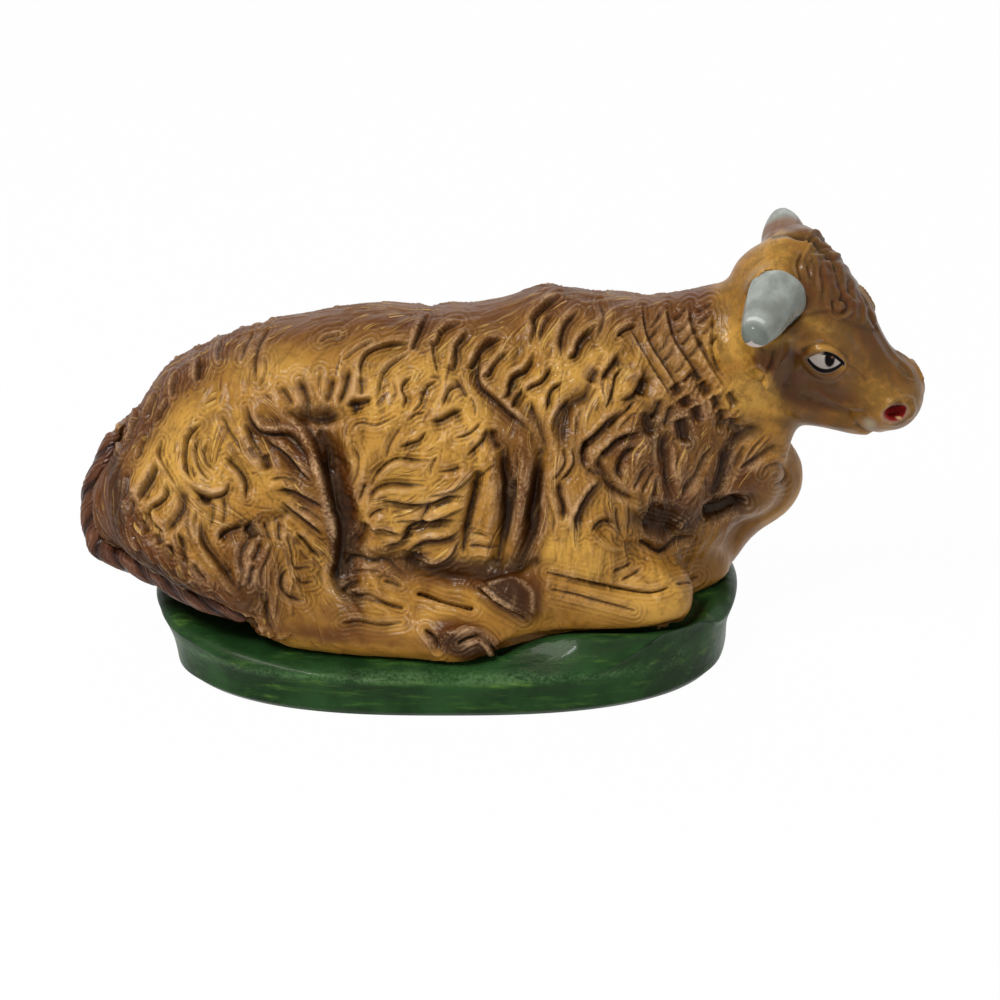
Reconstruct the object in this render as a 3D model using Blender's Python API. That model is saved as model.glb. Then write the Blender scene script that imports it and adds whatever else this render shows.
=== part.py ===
"""Recumbent cow figurine: two pressed half shells, a laid-on tail and two
pinned horns on a green mound base.

The animal lies along X with its head at +X, its near side faces -Y and +Z is up.
The origin is the middle of the base's underside. All sizes are in metres.
"""

import math

import bmesh
import bpy
import numpy as np
from mathutils import Vector

# Base mound
BASE_LENGTH = 0.0905
BASE_WIDTH = 0.0550
BASE_SQUARENESS = 2.6
BASE_FOOT = 0.0010
BASE_RIM = 0.0060
BASE_HEAD_END = 0.0108
BASE_TAIL_END = 0.0084
BASE_CROWN = 0.0088
BASE_EDGE_ROUND = 0.0014

# Fits between pieces
FIT_GAP = 0.0003
SHELL_WALL = 0.0042
PARTING_Y = 0.0010

# Trunk
RUMP_X = -0.0450
RUMP_RADIUS = 0.0144
RUMP_HEIGHT = 0.0245
TRUNK_LENGTH = 0.0885
TRUNK_WIDTH = 0.0390
BACK_HEIGHT = 0.0535

# Haunch and hind legs
HIP_X = -0.0335
HAUNCH_LENGTH = 0.0315
HAUNCH_WIDTH = 0.0220
HOCK_X = -0.0250
HOCK_RADIUS = 0.0060
HIND_CANNON = 0.0215
SHANK_RADIUS = 0.0038
HOOF_RADIUS = 0.0044
HOOF_LENGTH = 0.0125
CLEFT_RADIUS = 0.0004
TUCKED_FOOT_LENGTH = 0.0165
HAUNCH_LEAN = 0.0050

# Shoulder and forelegs
SHOULDER_X = 0.0145
SHOULDER_RADIUS = 0.0130
NEAR_KNEE_X = 0.0320
KNEE_RADIUS = 0.0058
FORE_CANNON = 0.0240
FAR_KNEE_X = 0.0500
FAR_KNEE_HEIGHT = 0.0252
FAR_KNEE_RADIUS = 0.0059
FAR_FOOT_X = 0.0390
FAR_LEG_Y = 0.0058

# Neck and dewlap
NECK_WIDTH = 0.0215
NECK_DEPTH = 0.0350
THROAT_X = 0.0475
THROAT_HEIGHT = 0.0396
DEWLAP_WIDTH = 0.0110

# Head, on its own axis from the poll to the muzzle
POLL = Vector((0.0500, 0.0005, 0.0572))
HEAD_PITCH = math.radians(43)
HEAD_YAW = math.radians(10)
HEAD_ROLL = math.radians(17)
HEAD_LENGTH = 0.0275
HEAD_WIDTH = 0.0190
HEAD_DEPTH = 0.0190
MUZZLE_WIDTH = 0.0132
JAW_RADIUS = 0.0070
BROW_RADIUS = 0.0016
NOSTRIL_KNOB_RADIUS = 0.0018
FORELOCK_WIDTH = 0.0124
EYE_RADIUS = 0.0023
NOSTRIL_RADIUS = 0.0015
MOUTH_RADIUS = 0.0005
EAR_LENGTH = 0.0175
EAR_WIDTH = 0.0068
EAR_THICKNESS = 0.0046
EAR_SPREAD = 0.36

# Horns
NEAR_HORN_LENGTH = 0.0110
FAR_HORN_LENGTH = 0.0080
HORN_ROOT_RADIUS = 0.0040
HORN_TIP_RADIUS = 0.0019
HORN_SINK = 0.0020
HORN_CURL = -0.10
PIN_RADIUS = 0.0006
PIN_IN_HORN = 0.0045
PIN_IN_HEAD = 0.0030

# Tail
TAIL_RADIUS = 0.0022
TAIL_TUFT_RADIUS = 0.0034
TAIL_TWISTS = 11

# Creases between the big forms and between the rows of locks
CREASE_RADIUS = 0.0011
CREASE_END = 0.45

# Each place is (share of the trunk's length, of its half width, of the back's height)
SIDE_CREASES = {
    "thigh_front": ((0.31, 0.80, 0.79), (0.34, 0.94, 0.68), (0.35, 0.98, 0.56), (0.36, 1.00, 0.36)),
    "hip_valley": ((0.20, 0.73, 0.80), (0.25, 0.79, 0.79), (0.29, 0.86, 0.75), (0.32, 0.93, 0.68)),
    "hip_top": ((0.21, 0.58, 0.88), (0.27, 0.73, 0.83), (0.35, 0.73, 0.84), (0.37, 0.61, 0.90)),
    "thigh_back": ((0.14, 0.97, 0.60), (0.17, 1.03, 0.54), (0.21, 1.00, 0.53), (0.26, 0.97, 0.56)),
    "whorl": ((0.11, 0.57, 0.81), (0.05, 0.52, 0.74), (0.04, 0.66, 0.67), (0.13, 0.93, 0.62)),
    "rump_rows": ((-0.02, 0.57, 0.61), (0.02, 0.97, 0.54), (0.11, 1.16, 0.45)),
    "belly_foot": ((0.41, 0.96, 0.41), (0.46, 0.95, 0.38), (0.52, 0.94, 0.36), (0.63, 1.08, 0.40)),
    "bulge": ((0.60, 0.82, 0.81), (0.62, 0.96, 0.70), (0.62, 1.02, 0.57), (0.60, 0.97, 0.41)),
    "elbow": ((0.67, 0.95, 0.74), (0.66, 1.04, 0.62), (0.65, 1.08, 0.51), (0.63, 1.06, 0.41)),
    "blade": ((0.66, 0.36, 1.01), (0.63, 0.59, 0.94), (0.63, 0.73, 0.87), (0.65, 0.87, 0.79)),
    "chest_loop": ((0.83, 0.73, 0.81), (0.89, 0.71, 0.73), (0.85, 0.81, 0.64), (0.78, 0.94, 0.59)),
    "flank_hind": ((0.46, 0.12, 0.96), (0.44, 0.38, 0.96), (0.39, 0.57, 0.91), (0.38, 0.74, 0.84)),
    "flank_middle": ((0.57, 0.28, 1.00), (0.52, 0.51, 0.94), (0.50, 0.71, 0.87)),
    "neck_high": ((0.90, 0.18, 0.98), (0.94, 0.41, 0.95), (0.99, 0.50, 0.80)),
    "neck_low": ((0.82, 0.20, 1.02), (0.84, 0.44, 0.96), (0.89, 0.58, 0.85)),
}
NEAR_CREASES = {
    "forearm": ((0.68, 1.16, 0.40), (0.74, 1.18, 0.38), (0.81, 1.09, 0.35), (0.86, 1.06, 0.33)),
    "chest_pit": ((0.94, 0.61, 0.62), (0.88, 0.74, 0.52), (0.84, 0.82, 0.50)),
    "knee_hollow": ((0.95, 0.52, 0.46), (0.99, 0.42, 0.47), (1.03, 0.37, 0.50)),
}

# Mesh fineness
VOXEL = 0.0010
BLEND_PASSES = 7
CREASE_PASSES = 4
SKIN_FACES_KEPT = 0.095


def clear_scene():
    """Remove whatever the file holds."""
    for item in list(bpy.data.objects):
        bpy.data.objects.remove(item)


def paint(name, colour, roughness, metallic=0.0):
    """A Principled material with one colour."""
    material = bpy.data.materials.new(name)
    material.use_nodes = True
    shader = material.node_tree.nodes["Principled BSDF"]
    shader.inputs["Base Color"].default_value = (*colour, 1.0)
    shader.inputs["Roughness"].default_value = roughness
    shader.inputs["Metallic"].default_value = metallic
    return material


def add_object(name, mesh, material=None):
    """Put a mesh in the scene under a name."""
    item = bpy.data.objects.new(name, mesh)
    bpy.context.collection.objects.link(item)
    if material:
        mesh.materials.append(material)
    return item


def hide_cutter(item):
    """A cutter is drawn as wire and is no part of the figurine."""
    item.display_type = "WIRE"
    item.hide_render = True
    return item


def through(rows, steps):
    """Rows of values on a smooth Catmull-Rom curve through the given rows."""
    rows = np.asarray(rows, float)
    padded = np.vstack([2 * rows[0] - rows[1], rows, 2 * rows[-1] - rows[-2]])
    t = np.linspace(0, 1, steps, endpoint=False)[:, None]
    pieces = []
    for before, start, end, after in zip(padded, padded[1:], padded[2:], padded[3:]):
        pieces.append(0.5 * (2 * start + (end - before) * t
                             + (2 * before - 5 * start + 4 * end - after) * t ** 2
                             + (3 * start - before - 3 * end + after) * t ** 3))
    return np.vstack(pieces + [rows[-1:]])


def tube_mesh(name, rings):
    """A closed mesh over rings of points, with a fan at each end."""
    count, sides = rings.shape[:2]
    vertices = rings.reshape(-1, 3).tolist()
    vertices += [rings[0].mean(axis=0).tolist(), rings[-1].mean(axis=0).tolist()]
    faces = []
    for ring in range(count - 1):
        for side in range(sides):
            following = (side + 1) % sides
            faces.append((ring * sides + side, ring * sides + following,
                          (ring + 1) * sides + following, (ring + 1) * sides + side))
    last = (count - 1) * sides
    for side in range(sides):
        following = (side + 1) % sides
        faces.append((count * sides, following, side))
        faces.append((count * sides + 1, last + side, last + following))
    mesh = bpy.data.meshes.new(name)
    mesh.from_pydata(vertices, [], faces)
    mesh.shade_smooth()
    return mesh


def limb(name, points, sizes, up=(0, 0, 1), steps=6, sides=20, round_ends=True, twist=None):
    """A swelling and tapering form along a smooth path.

    Each size is (half width, half height) of the oval section there, and the
    ends close as half ovals. up says which way a section's height points.
    """
    rows = np.hstack([np.asarray([tuple(p) for p in points], float), np.asarray(sizes, float)])
    rows = through(rows, steps)
    centres, halves = rows[:, :3], rows[:, 3:5]
    tangents = np.gradient(centres, axis=0)
    tangents /= np.linalg.norm(tangents, axis=1)[:, None]
    if round_ends:
        angles = np.radians([72, 48, 24])[:, None]
        reach = halves.mean(axis=1)
        heads = centres[0] - tangents[0] * reach[0] * np.sin(angles)
        tails = centres[-1] + tangents[-1] * reach[-1] * np.sin(angles[::-1])
        centres = np.vstack([heads, centres, tails])
        halves = np.vstack([halves[0] * np.cos(angles), halves, halves[-1] * np.cos(angles[::-1])])
        tangents = np.vstack([np.repeat(tangents[:1], 3, axis=0), tangents,
                              np.repeat(tangents[-1:], 3, axis=0)])
    across = np.cross(tangents, np.asarray(up, float))
    across /= np.linalg.norm(across, axis=1)[:, None]
    upward = np.cross(across, tangents)
    turn = np.linspace(0, 2 * math.pi, sides, endpoint=False)
    around = np.repeat(turn[None, :], len(centres), axis=0)
    swell = np.ones_like(around)
    if twist:
        strands, turns, depth = twist
        phase = np.linspace(0, 2 * math.pi * turns, len(centres))[:, None]
        swell = 1 - depth * (0.5 - 0.5 * np.cos(strands * around + phase)) ** 2
    rings = (centres[:, None, :]
             - across[:, None, :] * (np.cos(around) * swell * halves[:, :1])[:, :, None]
             + upward[:, None, :] * (np.sin(around) * swell * halves[:, 1:])[:, :, None])
    return tube_mesh(name, rings)


def joined(name, meshes):
    """One mesh that holds all the given ones, still overlapping."""
    work = bmesh.new()
    for mesh in meshes:
        work.from_mesh(mesh)
    whole = bpy.data.meshes.new(name)
    work.to_mesh(whole)
    work.free()
    whole.shade_smooth()
    return whole


def head_axes():
    """Unit vectors along the head, to its far side and to its forehead."""
    level = Vector((math.cos(HEAD_YAW), -math.sin(HEAD_YAW), 0))
    side = Vector((math.sin(HEAD_YAW), math.cos(HEAD_YAW), 0))
    forward = level * math.cos(HEAD_PITCH) - Vector((0, 0, math.sin(HEAD_PITCH)))
    raised = forward.cross(side)
    upward = raised * math.cos(HEAD_ROLL) - side * math.sin(HEAD_ROLL)
    sideways = side * math.cos(HEAD_ROLL) + raised * math.sin(HEAD_ROLL)
    return forward, sideways, upward


def on_head(forward, sideways, upward):
    """A place in the head's own axes, as shares of its length, half width and half depth."""
    along, across, above = head_axes()
    return (POLL + along * forward * HEAD_LENGTH + across * sideways * HEAD_WIDTH / 2
            + above * upward * HEAD_DEPTH / 2)


def trunk():
    """Barrel of the body: share of the length, of the width, top and bottom shares of the height."""
    profile = ((0.00, 0.50, 0.680, 0.26), (0.055, 0.72, 0.790, 0.18), (0.12, 0.86, 0.890, 0.12),
               (0.19, 0.94, 0.955, 0.08), (0.28, 0.98, 0.990, 0.06), (0.42, 1.00, 1.000, 0.06),
               (0.55, 1.00, 1.010, 0.06), (0.68, 0.98, 1.045, 0.06), (0.78, 0.92, 1.050, 0.08),
               (0.87, 0.78, 0.990, 0.12), (0.94, 0.60, 0.860, 0.20), (1.00, 0.40, 0.700, 0.34))
    points = []
    sizes = []
    for along, wide, top, bottom in profile:
        points.append((RUMP_X + along * TRUNK_LENGTH, 0, BACK_HEIGHT * (top + bottom) / 2))
        sizes.append((TRUNK_WIDTH / 2 * wide, BACK_HEIGHT * (top - bottom) / 2))
    return limb("trunk", points, sizes, sides=32)


def haunch(side):
    """Thigh of a folded hind leg, from the hip down to the stifle and the hock."""
    reach = side * TRUNK_WIDTH / 2
    points = ((HIP_X + HAUNCH_LEAN * 0.8, reach * 0.34, BACK_HEIGHT * 0.60),
              (HIP_X - HAUNCH_LEAN * 0.2, reach * 0.58, BACK_HEIGHT * 0.47),
              (HIP_X + HAUNCH_LEAN, reach * 0.76, BACK_HEIGHT * 0.40))
    wide = HAUNCH_WIDTH / 2
    long = HAUNCH_LENGTH / 2
    sizes = ((wide * 0.84, long * 0.72), (wide, long), (wide * 0.80, long * 0.76))
    return limb("haunch", points, sizes, up=(1, 0, 0), sides=28)


def rump():
    """Rounded seat that joins the two thighs behind."""
    half = TRUNK_WIDTH / 2 * 0.14
    middle = RUMP_X + RUMP_RADIUS * 0.32
    points = ((middle, -half, RUMP_HEIGHT), (middle, half, RUMP_HEIGHT))
    size = (RUMP_RADIUS, RUMP_RADIUS)
    return limb("rump", points, (size, size), sides=28)


def hind_leg():
    """Near hind leg: hock at the back, shank forward along the base."""
    level = BASE_CROWN + SHANK_RADIUS * 0.75
    beside = -TRUNK_WIDTH / 2
    points = ((HOCK_X, beside * 0.80, level + HOCK_RADIUS * 1.20),
              (HOCK_X, beside * 0.94, level + HOCK_RADIUS * 0.37),
              (HOCK_X + HIND_CANNON * 0.5, beside * 1.02, level - SHANK_RADIUS * 0.15),
              (HOCK_X + HIND_CANNON, beside * 1.06, level - SHANK_RADIUS * 0.37))
    sizes = ((HOCK_RADIUS * 1.2, HOCK_RADIUS * 1.2), (HOCK_RADIUS * 0.95, HOCK_RADIUS * 0.85),
             (SHANK_RADIUS * 1.1, SHANK_RADIUS * 1.1), (SHANK_RADIUS, SHANK_RADIUS))
    return limb("hind_leg", points, sizes)


def hind_hoof_line():
    """Heel and toe of the near hind hoof, which points forward."""
    fetlock = HOCK_X + HIND_CANNON + SHANK_RADIUS * 0.3
    heel = Vector((fetlock, -TRUNK_WIDTH * 0.53, BASE_CROWN + HOOF_RADIUS * 0.42))
    return heel, heel + Vector((HOOF_LENGTH * 0.75, -HOOF_LENGTH * 0.10, -HOOF_LENGTH * 0.02))


def fore_hoof_line():
    """Heel and toe of the tucked fore hoof, which points back."""
    heel = Vector((NEAR_KNEE_X - FORE_CANNON * 0.75, -TRUNK_WIDTH * 0.50, BASE_CROWN + HOOF_RADIUS * 1.8))
    return heel, heel + Vector((-HOOF_LENGTH * 0.60, -HOOF_LENGTH * 0.05, HOOF_LENGTH * 0.05))


def hoof(line):
    """A hoof: a blunt form that is deeper at the heel and lower at the toe."""
    heel, toe = line
    points = (heel, heel.lerp(toe, 0.55), toe)
    sizes = ((HOOF_RADIUS * 0.95, HOOF_RADIUS * 0.95), (HOOF_RADIUS, HOOF_RADIUS),
             (HOOF_RADIUS * 0.66, HOOF_RADIUS * 0.55))
    return limb("hoof", points, sizes)


def cleft(line):
    """Cutter for the split between the two toes of a hoof."""
    heel, toe = line
    ahead = (toe - heel).normalized() * HOOF_RADIUS * 0.45
    over = Vector((0, -0.55, 0.83)) * HOOF_RADIUS
    points = (heel.lerp(toe, 0.45) + over * 0.98, toe + over * 0.62, toe + ahead + over * 0.15)
    size = (CLEFT_RADIUS, CLEFT_RADIUS * 1.6)
    return limb("cleft", points, (size, size, size), sides=8, steps=3)


def tucked_foot():
    """Far hind foot, showing between the belly and the near shank."""
    rear = Vector((HOCK_X + HIND_CANNON * 0.53, -TRUNK_WIDTH * 0.40, BASE_CROWN + SHANK_RADIUS * 1.8))
    front = rear + Vector((TUCKED_FOOT_LENGTH, -SHANK_RADIUS * 0.2, -SHANK_RADIUS * 0.3))
    points = (rear, rear.lerp(front, 0.35), front)
    sizes = ((SHANK_RADIUS * 1.37, SHANK_RADIUS * 1.53), (SHANK_RADIUS * 1.2, SHANK_RADIUS * 1.2),
             (SHANK_RADIUS * 0.9, SHANK_RADIUS * 0.85))
    return limb("tucked_foot", points, sizes)


def shoulder(side):
    """Shoulder blade and upper arm, flat against the chest."""
    reach = side * TRUNK_WIDTH / 2
    points = ((SHOULDER_X, reach * 0.62, BACK_HEIGHT * 0.66),
              (SHOULDER_X + SHOULDER_RADIUS * 0.30, reach * 0.80, BACK_HEIGHT * 0.42))
    sizes = ((SHOULDER_RADIUS * 0.60, SHOULDER_RADIUS), (SHOULDER_RADIUS * 0.56, SHOULDER_RADIUS * 0.70))
    return limb("shoulder", points, sizes, up=(1, 0, 0))


def near_foreleg():
    """Near forearm, from the elbow down and forward to the knee on the base."""
    beside = -TRUNK_WIDTH / 2
    points = ((SHOULDER_X + SHOULDER_RADIUS * 0.35, beside * 0.80, BACK_HEIGHT * 0.38),
              ((SHOULDER_X + NEAR_KNEE_X) / 2, beside * 0.84, BACK_HEIGHT * 0.285),
              (NEAR_KNEE_X, beside * 0.80, BASE_CROWN + KNEE_RADIUS))
    sizes = ((KNEE_RADIUS * 1.4, KNEE_RADIUS * 1.6), (KNEE_RADIUS * 1.1, KNEE_RADIUS * 1.15),
             (KNEE_RADIUS, KNEE_RADIUS))
    return limb("near_foreleg", points, sizes, up=(1, 0, 0))


def near_shin():
    """Shin folded back below the forearm, ending at the tucked fore hoof."""
    beside = -TRUNK_WIDTH / 2
    level = BASE_CROWN + SHANK_RADIUS * 0.6
    points = ((NEAR_KNEE_X, beside * 0.84, level), (NEAR_KNEE_X - FORE_CANNON * 0.5, beside * 0.92, level),
              (NEAR_KNEE_X - FORE_CANNON, beside * 0.92, level + SHANK_RADIUS * 0.2))
    sizes = ((SHANK_RADIUS * 1.1, SHANK_RADIUS * 1.1), (SHANK_RADIUS * 0.95, SHANK_RADIUS * 0.95),
             (SHANK_RADIUS * 1.05, SHANK_RADIUS * 1.37))
    return limb("near_shin", points, sizes)


def far_foreleg():
    """Far foreleg: forearm forward to the raised knee, shin back down to the base."""
    fall = FAR_KNEE_HEIGHT - BASE_CROWN
    points = ((FAR_KNEE_X - FAR_KNEE_RADIUS * 2.3, FAR_LEG_Y * 0.7, FAR_KNEE_HEIGHT + FAR_KNEE_RADIUS * 0.75),
              (FAR_KNEE_X - FAR_KNEE_RADIUS * 0.8, FAR_LEG_Y, FAR_KNEE_HEIGHT + FAR_KNEE_RADIUS * 0.45),
              (FAR_KNEE_X, FAR_LEG_Y, FAR_KNEE_HEIGHT - FAR_KNEE_RADIUS * 0.1),
              (FAR_KNEE_X * 0.8 + FAR_FOOT_X * 0.2, FAR_LEG_Y * 0.9, BASE_CROWN + fall * 0.62),
              (FAR_FOOT_X, FAR_LEG_Y * 0.6, BASE_CROWN + fall * 0.18))
    sizes = ((FAR_KNEE_RADIUS * 1.25, FAR_KNEE_RADIUS * 1.25), (FAR_KNEE_RADIUS, FAR_KNEE_RADIUS),
             (FAR_KNEE_RADIUS, FAR_KNEE_RADIUS), (FAR_KNEE_RADIUS * 0.76, FAR_KNEE_RADIUS * 0.76),
             (FAR_KNEE_RADIUS * 0.86, FAR_KNEE_RADIUS * 0.86))
    return limb("far_foreleg", points, sizes, up=(0, 1, 0))


def fore_web():
    """Clay left between the near knee and the far shin."""
    points = ((NEAR_KNEE_X - KNEE_RADIUS * 0.7, -FAR_LEG_Y, BASE_CROWN + KNEE_RADIUS * 0.65),
              (FAR_FOOT_X, -FAR_LEG_Y * 0.2, BASE_CROWN + KNEE_RADIUS * 0.55))
    sizes = ((KNEE_RADIUS * 1.4, KNEE_RADIUS * 1.1), (KNEE_RADIUS * 0.9, KNEE_RADIUS))
    return limb("fore_web", points, sizes)


def neck():
    """Neck, deep and flat-sided, rising from the shoulders to the poll."""
    wide = NECK_WIDTH / 2
    deep = NECK_DEPTH / 2
    start = Vector((SHOULDER_X + SHOULDER_RADIUS * 0.5, 0, BACK_HEIGHT * 0.71))
    end = POLL + Vector((-NECK_WIDTH * 0.12, 0, -NECK_DEPTH * 0.21))
    points = (start, start.lerp(end, 0.55) + Vector((0, 0, -NECK_DEPTH * 0.105)), end)
    sizes = ((wide * 1.35, deep * 0.90), (wide * 1.12, deep * 0.87), (wide * 0.82, deep * 0.52))
    return limb("neck", points, sizes, sides=28)


def dewlap():
    """Loose fold of the throat and the front of the chest."""
    wide = DEWLAP_WIDTH / 2
    foot = Vector((NEAR_KNEE_X + KNEE_RADIUS * 0.7, -DEWLAP_WIDTH * 0.18, BACK_HEIGHT * 0.42))
    throat = Vector((THROAT_X, -DEWLAP_WIDTH * 0.36, THROAT_HEIGHT))
    points = (throat, throat.lerp(foot, 0.45) + Vector((DEWLAP_WIDTH * 0.11, 0, 0)), foot)
    sizes = ((wide * 0.85, wide * 1.1), (wide, wide * 1.5), (wide * 1.4, wide * 1.7))
    return limb("dewlap", points, sizes, up=(1, 0, 0))


def skull():
    """Head from the poll to the muzzle, broad at the eyes and narrow at the bridge."""
    profile = ((-0.05, 0.74, 0.67, -0.02), (0.16, 0.97, 0.88, 0.00), (0.36, 0.90, 0.86, 0.00),
               (0.55, 0.70, 0.68, 0.00), (0.72, 0.60, 0.53, -0.02), (0.84, 0.60, 0.50, 0.00))
    above = head_axes()[2]
    points = []
    sizes = []
    for forward, wide, deep, lift in profile:
        points.append(on_head(forward, 0, lift))
        sizes.append((HEAD_WIDTH / 2 * wide, HEAD_DEPTH / 2 * deep))
    return limb("skull", points, sizes, up=above, sides=28)


def jaw():
    """Deep cheeks that run forward to the chin."""
    above = head_axes()[2]
    points = (on_head(0.26, -0.14, -0.90), on_head(0.46, -0.12, -0.85), on_head(0.64, -0.06, -0.70),
              on_head(0.82, 0, -0.46))
    sizes = ((JAW_RADIUS, JAW_RADIUS), (JAW_RADIUS * 0.94, JAW_RADIUS * 0.90),
             (JAW_RADIUS * 0.78, JAW_RADIUS * 0.76), (MUZZLE_WIDTH * 0.38, MUZZLE_WIDTH * 0.34))
    return limb("jaw", points, sizes, up=above)


def muzzle():
    """Broad blunt nose in front of the narrow bridge."""
    points = (on_head(0.75, 0, 0.02), on_head(0.83, 0, 0.03))
    half = MUZZLE_WIDTH / 2
    return limb("muzzle", points, ((half, half * 0.84), (half, half * 0.82)), up=head_axes()[2])


def nostril_knob(side):
    """Rounded rim over one nostril."""
    points = (on_head(0.82, side * 0.46, 0.32), on_head(0.90, side * 0.52, 0.28))
    size = (NOSTRIL_KNOB_RADIUS, NOSTRIL_KNOB_RADIUS)
    return limb("nostril_knob", points, (size, size), up=head_axes()[2], sides=14)


def brow(side):
    """Ridge of bone over one eye."""
    points = (on_head(0.18, side * 0.84, 0.36), on_head(0.38, side * 0.84, 0.42),
              on_head(0.55, side * 0.68, 0.34))
    thin = (BROW_RADIUS * 0.6, BROW_RADIUS * 0.6)
    return limb("brow", points, (thin, (BROW_RADIUS, BROW_RADIUS), thin), up=head_axes()[2], sides=14)


def nostril(side):
    """Cutter for one nostril, slanting in from the side of the nose."""
    along, across, above = head_axes()
    outer = on_head(0.93, side * 0.64, 0.32)
    points = (outer, outer - along * NOSTRIL_RADIUS * 1.2 - across * side * NOSTRIL_RADIUS * 0.9)
    radius = NOSTRIL_RADIUS
    return limb("nostril", points, ((radius, radius * 1.2), (radius * 0.7, radius * 0.8)), up=above, sides=12)


def mouth():
    """Cutter for the mouth line round the front of the muzzle."""
    above = head_axes()[2]
    points = (on_head(0.74, -0.60, -0.40), on_head(0.88, -0.58, -0.32), on_head(1.00, -0.30, -0.24),
              on_head(1.04, 0.00, -0.22), on_head(1.00, 0.30, -0.24), on_head(0.88, 0.58, -0.32),
              on_head(0.74, 0.60, -0.40))
    return limb("mouth", points, [(MOUTH_RADIUS, MOUTH_RADIUS)] * len(points), up=above, sides=8, steps=3)


def forelock():
    """Raised cap of hair on the forehead."""
    above = head_axes()[2]
    points = (on_head(-0.10, 0.10, 0.55), on_head(0.08, 0.08, 0.62), on_head(0.26, 0.05, 0.57))
    wide = FORELOCK_WIDTH / 2
    sizes = ((wide * 0.94, wide * 0.50), (wide, wide * 0.52), (wide * 0.77, wide * 0.44))
    return limb("forelock", points, sizes, up=above)


def ear(side):
    """A drooping leaf, hollow side out, rooted below the horn."""
    across = head_axes()[1]
    root = on_head(-0.13, side * 0.72, 0.44)
    hang = Vector((0, side * EAR_SPREAD, -1)).normalized()
    points = (root, root + hang * EAR_LENGTH * 0.45, root + hang * EAR_LENGTH * 0.92)
    sizes = ((EAR_WIDTH * 0.50, EAR_THICKNESS * 0.50), (EAR_WIDTH * 0.56, EAR_THICKNESS * 0.50),
             (EAR_WIDTH * 0.18, EAR_THICKNESS * 0.25))
    return limb("ear", points, sizes, up=across * side)


def eyeball(side):
    """Swelling of the eye under its lids."""
    centre = on_head(0.41, side * 0.70, 0.24)
    along, _, above = head_axes()
    points = (centre - along * EYE_RADIUS * 0.5, centre + along * EYE_RADIUS * 0.5)
    size = (EYE_RADIUS, EYE_RADIUS)
    return limb("eyeball", points, (size, size), up=above)


def horn_path(side):
    """Centre line of a horn. The near one points out of the head, the far one also leans back."""
    along, across, above = head_axes()
    if side < 0:
        root = on_head(-0.04, -0.82, 0.38)
        length = NEAR_HORN_LENGTH
        outward = -across
    else:
        root = on_head(-0.10, 0.62, 0.20)
        length = FAR_HORN_LENGTH
        outward = (across - along * 0.53).normalized()
    middle = root + outward * length * 0.50
    tip = middle + (outward + above * HORN_CURL).normalized() * length * 0.45
    return root, middle, tip


def horn(name, side, grow=0.0):
    """A stout curved cone with a blunt tip; grow widens it for its socket."""
    root, middle, tip = horn_path(side)
    start = root - (middle - root).normalized() * (HORN_SINK + grow)
    radii = (HORN_ROOT_RADIUS + grow, HORN_ROOT_RADIUS + grow,
             (HORN_ROOT_RADIUS + HORN_TIP_RADIUS) / 2 * 1.08 + grow, HORN_TIP_RADIUS + grow)
    sizes = [(radius, radius) for radius in radii]
    return limb(name, (start, root, middle, tip), sizes, sides=18, steps=4, round_ends=False)


def pin(name, side, grow=0.0):
    """Wire pin in the horn's root, half in the horn and half in the head."""
    root, middle, _ = horn_path(side)
    axis = (middle - root).normalized()
    seat = root - axis * HORN_SINK
    points = (seat - axis * (PIN_IN_HEAD + grow), seat + axis * (PIN_IN_HORN + grow))
    radius = PIN_RADIUS + grow
    return limb(name, points, ((radius, radius), (radius, radius)), sides=10, steps=2, round_ends=False)


def tail_path():
    """Tail from its root on the rump, down the back of the thigh and forward to the hock.

    Each point is (back from the rump's end, share of the half width, rise above the
    rump's middle), the first and last as shares of the rump's radius.
    """
    route = ((-0.36, -0.05, 0.66), (-0.55, -0.12, 0.38), (-0.60, -0.20, -0.04), (-0.47, -0.40, -0.54),
             (-0.01, -0.72, -0.78), (0.59, -0.97, -0.82), (1.11, -1.09, -0.78))
    return [(RUMP_X + RUMP_RADIUS * back, TRUNK_WIDTH / 2 * aside, RUMP_HEIGHT + RUMP_RADIUS * rise)
            for back, aside, rise in route]


def tail(name, grow=0.0):
    """A rope of two twisted strands that ends in a flat tuft; grow widens it for its bed."""
    radii = (0.85, 0.95, 1.0, 1.0, 1.0)
    sizes = [(TAIL_RADIUS * share + grow, TAIL_RADIUS * share + grow) for share in radii]
    sizes += [(TAIL_TUFT_RADIUS * 0.8 + grow, TAIL_TUFT_RADIUS * 0.8 + grow),
              (TAIL_TUFT_RADIUS * 0.55 + grow, TAIL_TUFT_RADIUS * 0.55 + grow)]
    twist = None if grow else (2, TAIL_TWISTS / 2, 0.22)
    return limb(name, tail_path(), sizes, sides=12, steps=5 if grow else 9, twist=twist)


def crease(name, places, side):
    """Cutter for one crease: a round tool drawn over the skin, shallow at both ends."""
    points = [(RUMP_X + TRUNK_LENGTH * along, side * TRUNK_WIDTH / 2 * aside, BACK_HEIGHT * rise)
              for along, aside, rise in places]
    thin = (CREASE_RADIUS * CREASE_END, CREASE_RADIUS * CREASE_END)
    sizes = [thin] + [(CREASE_RADIUS, CREASE_RADIUS)] * (len(points) - 2) + [thin]
    return limb(name, points, sizes, up=(0, 1, 0), sides=10, steps=5)


def all_creases():
    """Every crease of the coat: the body's on both sides, the near foreleg's on one."""
    cutters = [crease(name, places, side) for name, places in SIDE_CREASES.items() for side in (-1, 1)]
    return cutters + [crease(name, places, -1) for name, places in NEAR_CREASES.items()]


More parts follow.
